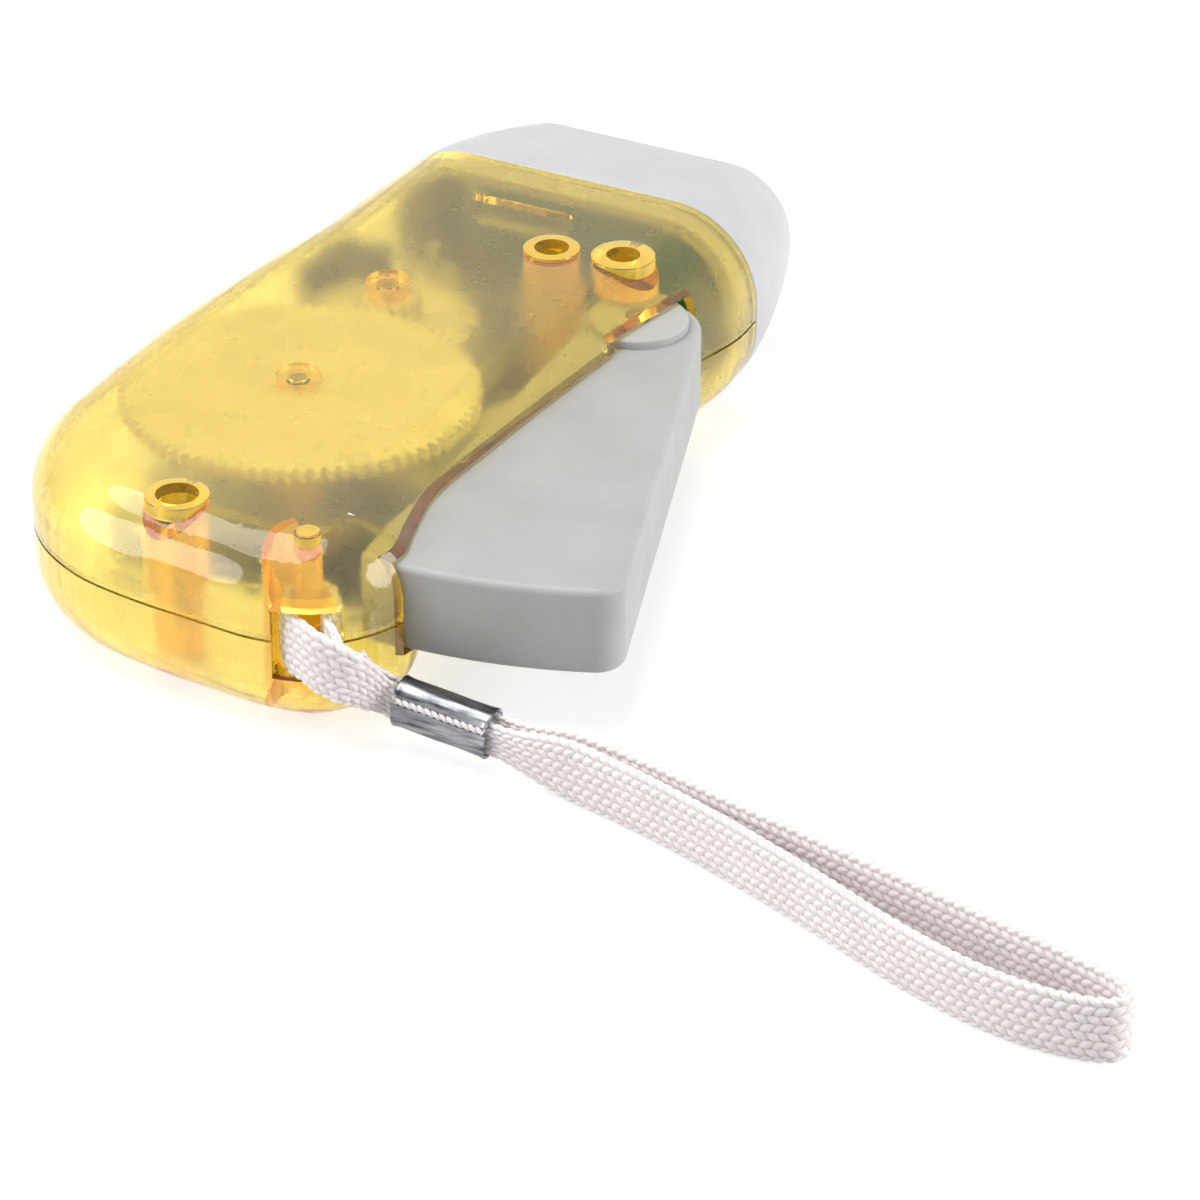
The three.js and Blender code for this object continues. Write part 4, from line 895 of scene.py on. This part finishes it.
# rows of place, radius, bottom and top, millimetres, for what stands in each half and what is cut from it
upperRim = housing["splitHeight"] + housing["gap"] / 2
lowerRim = housing["splitHeight"] - housing["gap"] / 2
aboveAll = 40.0
inFloor = 0.2
upperPosts = [
    ("main", 2.5, 20.6, aboveAll), ("idler", 2.5, 20.6, aboveAll), ("frontScrew", 3.3, upperRim, aboveAll),
    ("rearScrew", 3.5, upperRim, aboveAll), ("blindBoss", 3.7, leverArea["arch"], aboveAll),
]
upperHoles = [
    ("pivot", leverArea["nose"], upperRim - 5, leverArea["arch"]),
    ("main", gearPocket["radius"], gearPocket["bottom"], gearPocket["top"], 96),
    ("main", 1.2, upperRim, 21.4), ("idler", 1.2, upperRim, 21.4),
    ("frontScrew", 1.2, upperRim - 5, aboveAll), ("frontScrew", 2.0, 14.4, aboveAll),
    ("rearScrew", 1.2, upperRim - 5, aboveAll), ("rearScrew", 2.35, 18.2, aboveAll),
    ("blindBoss", 1.95, roofAt(places["blindBoss"][0]) - 2, aboveAll),
]
lowerPosts = [
    ("main", 2.5, inFloor, 10.4), ("idler", 1.9, inFloor, 10.9), ("pivot", 3.2, inFloor, 8.0),
    ("frontScrew", 2.7, inFloor, lowerRim), ("rearScrew", 2.7, inFloor, lowerRim),
    ("rotor", 2.5, inFloor, 3.0), ("strapPost", 1.45, inFloor, lowerRim),
]
lowerHoles = [
    ("pivot", leverArea["nose"], leverArea["bottom"], 17),
    ("main", 1.2, 2.3, 12), ("idler", 1.2, 2.3, 12), ("rotor", 1.2, 2.3, 12),
    ("pivot", 1.7, 5.6, 12), ("frontScrew", 1.2, 5.7, 12.5), ("rearScrew", 1.2, 5.7, 12.5),
]
proudRings = (("frontScrew", 3.3), ("rearScrew", 3.5), ("blindBoss", 3.7))


def pins(rows):
    return [pin(places[name], *sizes) for name, *sizes in rows]


def strapWall(bottom, top):
    # curved wall that keeps the strap round its post
    return sector(places["strapPost"], 3.7, 4.7, 46.8, 122.4, bottom, top)


def leverSweep(bottom, top):
    return sector(places["pivot"], 0, leverArea["reach"], leverArea["start"], leverArea["span"], bottom, top)


def hollowHalf(name, isUpper, rim, posts):
    # one half with its hollow and posts, and the hollow's skin, which tells frosted faces from polished
    outer = halfSolid(name, isUpper, 0, rim)
    hollow = halfSolid("hollow", isUpper, housing["wall"], rim - 5 if isUpper else rim + 5)
    hollowSkin = hollow.data.copy()
    inside = combine(posts[0], posts[1:], "UNION")
    combine(inside, [halfSolid("trim", isUpper, housing["trimSkin"], rim)], "INTERSECT")
    combine(outer, [hollow], "DIFFERENCE")
    return combine(outer, [inside], "UNION"), hollowSkin


def finishHalf(shell, hollowSkin, isUpper, flats):
    softenAway(shell, housing["edgeRadius"], flats)
    smoothByAngle(shell)
    markFrost(shell, hollowSkin, isUpper)
    return shell


def makeUpperShell():
    posts = pins(upperPosts) + [strapWall(upperRim, aboveAll), ribSolid()]
    outer, hollowSkin = hollowHalf("upper_shell_clear", True, upperRim, posts)
    edge = housing["bossEdge"]
    for name, radius in proudRings:
        top = roofAt(places[name][0]) + housing["bossProud"]
        profile = [(radius, top - housing["wall"]), (radius, top - edge),
                   (radius - edge * 0.3, top - edge * 0.3), (radius - edge, top)]
        combine(outer, [turned("ring", places[name], profile, 56)], "UNION")
    combine(outer, [leverSweep(upperRim - 5, leverArea["lip"]), *pins(upperHoles),
                    strapSlot(), knobSlot(), aheadOfSeam()], "DIFFERENCE")
    pipTop = roofAt(places["strapPost"][0]) + 0.5
    profile = [(1.45, upperRim), (1.45, pipTop - 0.25), (1.38, pipTop - 0.1), (1.2, pipTop)]
    combine(outer, [turned("pip", places["strapPost"], profile, 40)], "UNION")
    return finishHalf(outer, hollowSkin, True, (roofAt, lambda x: roofAt(x) + housing["bossProud"],
                                                lambda x: roofAt(x) - housing["wall"]))


rib = {"aheadOfRotor": 10.6, "halfThick": 0.9, "sides": (2.2, -8.9), "deep": 3}


def ribSolid():
    # upright bar with round ends that hangs from the roof
    front = places["rotor"][0] + rib["aheadOfRotor"]
    bottom = roofAt(front) - housing["wall"] - rib["deep"]
    half = rib["halfThick"]
    ends = [polar((front - half, y), half, turn) for y, start in zip(rib["sides"], (0, 180))
            for turn in range(start, start + 181, 15)]
    return raised("rib", ends, bottom, aboveAll)


def knobSlot():
    return brick("knobSlot", (30.7, 10, 12.9), (37.3, 30, 16.5))


def makeLowerShell():
    outer, hollowSkin = hollowHalf("lower_shell_clear", False, lowerRim,
                                   pins(lowerPosts) + [strapWall(inFloor, lowerRim)])
    swept = leverSweep(leverArea["bottom"], 17)
    combine(swept, pins([("main", 2.8, 0, 18), ("idler", 2.8, 0, 18)]), "DIFFERENCE")
    combine(outer, [swept, *pins(lowerHoles), strapSlot(), aheadOfSeam()], "DIFFERENCE")
    # the slot cuts the strap's post away, so it goes in again
    post = pin(places["strapPost"], 1.45, inFloor, lowerRim)
    trim = halfSolid("trim", False, housing["trimSkin"], lowerRim)
    combine(outer, [combine(post, [trim], "INTERSECT")], "UNION")
    return finishHalf(outer, hollowSkin, False, (lambda x: 0, lambda x: housing["wall"]))


for maker, node in ((makeUpperShell, "upper_shell"), (makeLowerShell, "lower_shell")):
    dress(maker(), "housing", "shell", node)
    print(node, "ready")


# Squeeze lever: a grey moulding open toward the gears, with a raised disc at its pivot
lever = {
    "reach": 59.7,
    "nose": 7.4,
    "slope": 19.15,
    "wall": 1.5,
    "corner": 3.2,
    "edge": 0.85,
    "bottom": 8.3,
    "top": 18.5,
    "innerTurn": 178.6,
    "noseEnd": 130.0,
    "discRadius": 6.0,
    "discTop": 19.6,
    "cavitySpread": 5,
    "pinHole": 1.7,
}


def leverOutline(inset, spread=0.0, steps=26):
    pivot, nose, reach, corner = places["pivot"], lever["nose"], lever["reach"], lever["corner"]
    wallTurn = lever["slope"] - 90
    aside = nose - corner
    along = math.sqrt((reach - corner) ** 2 - aside ** 2)
    heel = polar(polar(pivot, aside, wallTurn), along, lever["slope"] + 180)
    heelTurn = math.degrees(math.atan2(heel[1] - pivot[1], heel[0] - pivot[0])) + 360
    points = [polar(pivot, nose - inset, wallTurn + (lever["noseEnd"] - wallTurn) * i / steps)
              for i in range(steps + 1)]
    if spread:
        points.append(polar(pivot, nose + spread, lever["noseEnd"]))
        points.append(polar(pivot, reach - inset, lever["innerTurn"] - math.degrees(spread / reach)))
    points += [polar(pivot, reach - inset, lever["innerTurn"] + (heelTurn - lever["innerTurn"]) * i / steps)
               for i in range(steps + 1)]
    points += [polar(heel, corner - inset, heelTurn + (wallTurn + 360 - heelTurn) * i / 12)
               for i in range(1, 13)]
    return points


def makeLever():
    bottom, top, edge, wall = lever["bottom"], lever["top"], lever["edge"], lever["wall"]
    turns = [math.radians(turn) for turn in range(0, 91, 15)]
    rings = [[p + (bottom + edge * (1 - math.sin(t)),) for p in leverOutline(edge * (1 - math.cos(t)))]
             for t in reversed(turns)]
    rings += [[p + (top - edge * (1 - math.sin(t)),) for p in leverOutline(edge * (1 - math.cos(t)))]
              for t in turns]
    body = ringStack("squeeze_lever_moulding", rings)
    cavity = raised("cavity", leverOutline(wall, lever["cavitySpread"]), bottom + wall, top - wall)
    combine(body, [cavity], "DIFFERENCE")
    radius, discTop = lever["discRadius"], lever["discTop"]
    disc = turned("disc", places["pivot"], [(radius, top - 0.5), (radius, discTop - 0.3),
                                            (radius - 0.1, discTop - 0.1), (radius - 0.3, discTop)], 80)
    combine(body, [disc], "UNION")
    combine(body, [pin(places["pivot"], lever["pinHole"], 0, 30, 32)], "DIFFERENCE")
    return smoothByAngle(body, 40)


dress(makeLever(), "lever", "lever", "squeeze_lever")
print("lever ready")


# Head: grey moulding from the seam to the rim of the lens
head = {
    "length": 20.0,
    "gap": 0.3,
    "rimHalfWidth": 19.4,
    "rimHalfHeight": 8.6,
    "rimRound": 8.0,
    "rimEdge": 1.1,
    "spigotLength": 3.0,
    "cornerSteps": 14,
    "backEdge": 0.25,
    "seamShares": (0.94, 0.004),  # where the seam's sides lie in the plan
    "spigotInset": 1.8,
    "spigotBore": 2.8,
    "flangeInset": 0.75,
}
seamHigh, seamLow = head["seamShares"]
headMiddle = (seamHigh + seamLow) / 2 * planWidth - housing["leverSideReach"]
seamHalfWidth = (seamHigh - seamLow) / 2 * planWidth
headHeight = (housing["rearTop"] + housing["roofRise"]) / 2
headRear = housing["seamReach"] + head["gap"]
rimReach = housing["seamReach"] + head["length"]


def headRing(x, inset):
    share = max(0, (x - housing["seamReach"]) / head["length"]) ** 1.5
    halfWidth = seamHalfWidth + (head["rimHalfWidth"] - seamHalfWidth) * share - inset
    halfHeight = headHeight + (head["rimHalfHeight"] - headHeight) * share - inset
    corner = housing["headRound"] + (head["rimRound"] - housing["headRound"]) * share - inset
    ring = []
    for quarter, (y, z) in enumerate(((1, 1), (-1, 1), (-1, -1), (1, -1))):
        for step in range(head["cornerSteps"] + 1):
            turn = (quarter + step / head["cornerSteps"]) * math.pi / 2
            ring.append((x, headMiddle + y * (halfWidth - corner) + corner * math.cos(turn),
                         headHeight + z * (halfHeight - corner) + corner * math.sin(turn)))
    return ring


def headStack(name, stations):
    return ringStack(name, [headRing(x, inset) for x, inset in stations])


def makeHead():
    wall, edge, back = housing["wall"], head["rimEdge"], head["backEdge"]
    spread = np.linspace(headRear, rimReach - edge, 17)
    stations = [(headRear, back)] + [(headRear + back * (1 - math.cos(t)), back * (1 - math.sin(t)))
                                     for t in (math.pi / 6, math.pi / 3, math.pi / 2)]
    stations += [(x, 0.0) for x in spread[1:]]
    stations += [(rimReach - edge * (1 - math.sin(t)), edge * (1 - math.cos(t)))
                 for t in np.linspace(math.pi / 8, math.pi / 2, 5)]
    body = headStack("head_cap_moulding", stations)
    hollow = headStack("hollow", [(x, wall) for x in (headRear - 5, *spread, rimReach + 5)])
    combine(body, [hollow], "DIFFERENCE")
    rear, inset, flange = headRear - head["spigotLength"], head["spigotInset"], head["flangeInset"]
    spigot = headStack("spigot", [(rear, inset + 0.15), (rear + 0.15, inset), (headRear + 0.2, inset)])
    combine(spigot, [headStack("flange", [(headRear, flange), (headRear + 2, flange)])], "UNION")
    way = headStack("way", [(headRear - 9, head["spigotBore"]), (headRear + 9, head["spigotBore"])])
    combine(spigot, [way], "DIFFERENCE")
    combine(body, [spigot], "UNION")
    return smoothByAngle(body, 40)


dress(makeHead(), "housing", "head", "head_cap")
print("head ready")


# Small inner parts: round tools first, then the parts from the lens back to the lever
inner = {
    "lensThick": 1.6,
    "lensSink": 0.6,
    "lampRow": (-15.179, -5.179, 4.821),
    "lampRear": 58.475,
    "lampRadius": 2.5,
    "lampLength": 8.0,
    "flangeRadius": 2.75,
    "flangeThick": 1.0,
    "reflectorRear": 59.775,
    "dishRadius": 4.6,
    "springSeats": (14.5, 16.7),
    "springGap": 0.02,
    "springRadius": 3.95,
    "springWire": 0.68,
    "springTurns": 2.1,
    "cellRadius": 5.8,
    "cellHeight": 4.2,
    "cellBottom": 4.1,
    "wireRadius": 0.5,
}


def alongX(name, start, y, z, profile, sides=48):
    # round piece about a line toward the lens, from (distance, radius) pairs
    turns = [2 * math.pi * i / sides for i in range(sides)]
    rings = [[(start + reach, y + radius * math.cos(t), z + radius * math.sin(t)) for t in turns]
             for reach, radius in profile]
    return ringStack(name, rings)


def makeLens():
    front = rimReach - inner["lensSink"]
    rear = front - inner["lensThick"]
    stations = [(rear, 2.0), (rear + 0.2, 1.8), (front - 0.3, 1.8), (front, 2.1)]
    return smoothByAngle(headStack("lens_window", stations), 30)


def makeReflector():
    rear, front = inner["reflectorRear"], rimReach - inner["lensSink"] - inner["lensThick"] - 0.3
    body = headStack("reflector_dishes", [(rear, 1.8), (front, 1.8)])
    depth = front - rear
    start = inner["lampRadius"] + 0.3
    for y in inner["lampRow"]:
        dish = [(-1, start), (depth / 3, start)]
        # parabola from the lamp's hole out to the rim
        for step in range(1, 13):
            share = step / 12
            radius = start + (inner["dishRadius"] - start) * math.sqrt(share)
            dish.append((depth / 3 + depth * 2 / 3 * share, radius))
        dish.append((depth + 1, inner["dishRadius"]))
        combine(body, [alongX("dish", rear, y, headHeight, dish)], "DIFFERENCE")
    return smoothByAngle(body, 40)


def makeLamp(y):
    radius, flange = inner["lampRadius"], inner["flangeRadius"]
    straight = inner["lampLength"] - radius
    profile = [(0, flange - 0.1), (0.1, flange), (inner["flangeThick"] - 0.1, flange),
               (inner["flangeThick"], flange - 0.1), (inner["flangeThick"], radius), (straight, radius)]
    profile += [(straight + radius * math.sin(t), radius * math.cos(t)) for t in np.linspace(0.12, 1.5, 10)]
    return smoothByAngle(alongX("led_dome", inner["lampRear"], y, headHeight, profile), 30)


knob = {"inner": 16.026, "outer": 20.526, "rear": 31.0, "ahead": 34.0, "bottom": 13.2, "top": 16.2,
        "ridges": 4, "ridgeDepth": 0.35, "edge": 0.1, "sharp": 38}


def makeKnob():
    # outer face with upright finger ridges
    rear, ahead, high = knob["rear"], knob["ahead"], knob["outer"]
    groove = high - knob["ridgeDepth"]
    outline = [(rear, knob["inner"]), (ahead, knob["inner"]), (ahead, groove)]
    pitch = (ahead - rear) / knob["ridges"]
    for ridge in range(knob["ridges"]):
        x = ahead - ridge * pitch
        outline += [(x - pitch * 0.3, high), (x - pitch * 0.6, high), (x - pitch * 0.9, groove)]
    outline.append((rear, groove))
    body = raised("slide_switch_knob", outline, knob["bottom"], knob["top"])
    bevel(body, knob["edge"], limit_method="ANGLE", angle_limit=math.radians(knob["sharp"]))
    return smoothByAngle(body, 40)


def makeSpring():
    low, high = inner["springSeats"]
    halfWire = inner["springWire"] / 2
    lowest = low + halfWire + inner["springGap"]
    highest = high - halfWire - inner["springGap"]
    turns = inner["springTurns"] * 2 * math.pi
    points = [polar(places["pivot"], inner["springRadius"], math.degrees(turns * s))
              + (lowest + (highest - lowest) * s,) for s in np.linspace(0, 1, 140)]
    return rod("lever_spring_wound", points, halfWire)


screw = {"tip": (0.3, 6.5), "core": 0.75, "crest": 1.0, "threadStart": 7.3, "threadPitch": 0.8, "shank": 0.9,
         "headHeight": 1.2, "rim": 0.55, "dome": 0.9,
         "crossWidth": 0.55, "crossReach": 0.62, "crossDeep": 0.7}


def makeScrew(name, place, radius, seat):
    top = seat + screw["headHeight"]
    core, shank, rim, pitch = screw["core"], screw["shank"], screw["rim"], screw["threadPitch"]
    height = screw["threadStart"]
    profile = [screw["tip"], (core, height)]
    while height + pitch < seat - 2:
        profile += [(screw["crest"], height + pitch / 2), (core, height + pitch)]
        height += pitch
    profile += [(shank, seat - 1.5), (shank, seat), (radius - 0.12, seat), (radius, seat + 0.15),
                (radius, seat + rim)]
    profile += [(radius - (1 - math.cos(t)) * screw["dome"], seat + rim + math.sin(t) * (top - seat - rim))
                for t in np.linspace(0.3, math.pi / 2, 6)]
    body = turned(name, place, profile, 40)
    half, reach = screw["crossWidth"] / 2, radius * screw["crossReach"]
    x, y = place
    for wide, deep in ((half, reach), (reach, half)):
        slot = brick("cross", (x - wide, y - deep, top - screw["crossDeep"]), (x + wide, y + deep, top + 2))
        combine(body, [slot], "DIFFERENCE")
    return smoothByAngle(body, 40)


def makeCell(name, x, y):
    # the can's bottom edge, its crimped rim and the raised button on top
    radius, bottom, top = inner["cellRadius"], inner["cellBottom"], inner["cellBottom"] + inner["cellHeight"]
    can = [(0.35, 0), (0.1, 0.1), (0, 0.35)]
    rim = [(0, 1.1), (0.1, 0.88), (0.4, 0.8)]
    button = [(4.75, 0.8), (4.6, 0.65), (4.6, 0.25), (4.5, 0.08), (4.25, 0)]
    profile = [(radius - inset, bottom + rise) for inset, rise in can]
    profile += [(radius - inset, top - drop) for inset, drop in rim]
    profile += [(reach, top - drop) for reach, drop in button]
    return smoothByAngle(turned(name, (x, y), profile, 72), 30)


def makeFlywheel():
    profile = [(1.1, 8.6), (8.8, 8.6), (9.0, 8.8), (9.0, 11.4), (8.8, 11.6), (7.9, 11.6), (7.7, 11.4),
               (3.4, 11.4), (3.2, 11.6), (3.0, 11.7), (3.0, 11.9), (1.1, 11.9)]
    return smoothByAngle(turned("flywheel_turned", places["rotor"], profile, 80, loop=True), 30)


def wireLine(height):
    points = [(20.72, 9.9, height), (28.05, 14.57, height), (35.38, 14.57, height), (45.38, 11.47, height),
              (50.18, 7.97, height + 2.4), (56.98, 2.97, height + 4.8)]
    return evenly(curveThrough(points, False), 90)[0]


dress(makeLens(), "housing", "lens", "lens")
dress(makeReflector(), "housing", "reflector", "reflector")
for y, node in zip(inner["lampRow"], ("led_right", "led_middle", "led_left")):
    dress(makeLamp(y), "housing", "lamp", node)
dress(makeKnob(), "switch", "head", "slide_switch")
dress(makeSpring(), "housing", "steel", "lever_spring")
for name, node, place, radius, seat in (("screw_front_cross", "screw_front", "frontScrew", 1.7, 14.4),
                                        ("screw_rear_cross", "screw_rear", "rearScrew", 2.05, 18.2)):
    dress(makeScrew(name, places[place], radius, seat), "housing", "bright_steel", node)
for x, node in ((-11.277, "cell_rear"), (1.123, "cell_middle"), (13.523, "cell_front")):
    dress(makeCell(node + "_can", x, 10.175), "housing", "bright_steel", node)
dress(makeFlywheel(), "rotor", "steel", "flywheel")
for colour, height in (("red", 5.4), ("black", 7.2)):
    slotName, node = colour + "_insulation", colour + "_wire"
    line = wireLine(height)
    dress(rod(node + "_round", line, inner["wireRadius"]), "housing", slotName, node)
print("inner parts ready")


# Solids that keep their own shape get the same finishes
keptNodes = {
    "board": ["led_board"], "dark_plastic": ["chassis_plate", "switch_case"], "tray": ["battery_holder"],
    "steel": ["main_axle", "idler_axle", "rotor_axle", "lever_pivot_pin", "stator_cup"],
    "bright_steel": ["contact_top", "contact_rear", "contact_middle", "contact_front"],
    "copper": ["stator_coil"], "magnet": ["ring_magnet"],
    "nylon": ["lever_sector_gear", "drive_pinion", "main_gear", "idler_gear", "rotor_pinion"],
}
for slotName, nodes in keptNodes.items():
    for node in nodes:
        for holder in bpy.data.objects[node].material_slots:
            holder.material = finishes[slotName]
print("kept solids ready")
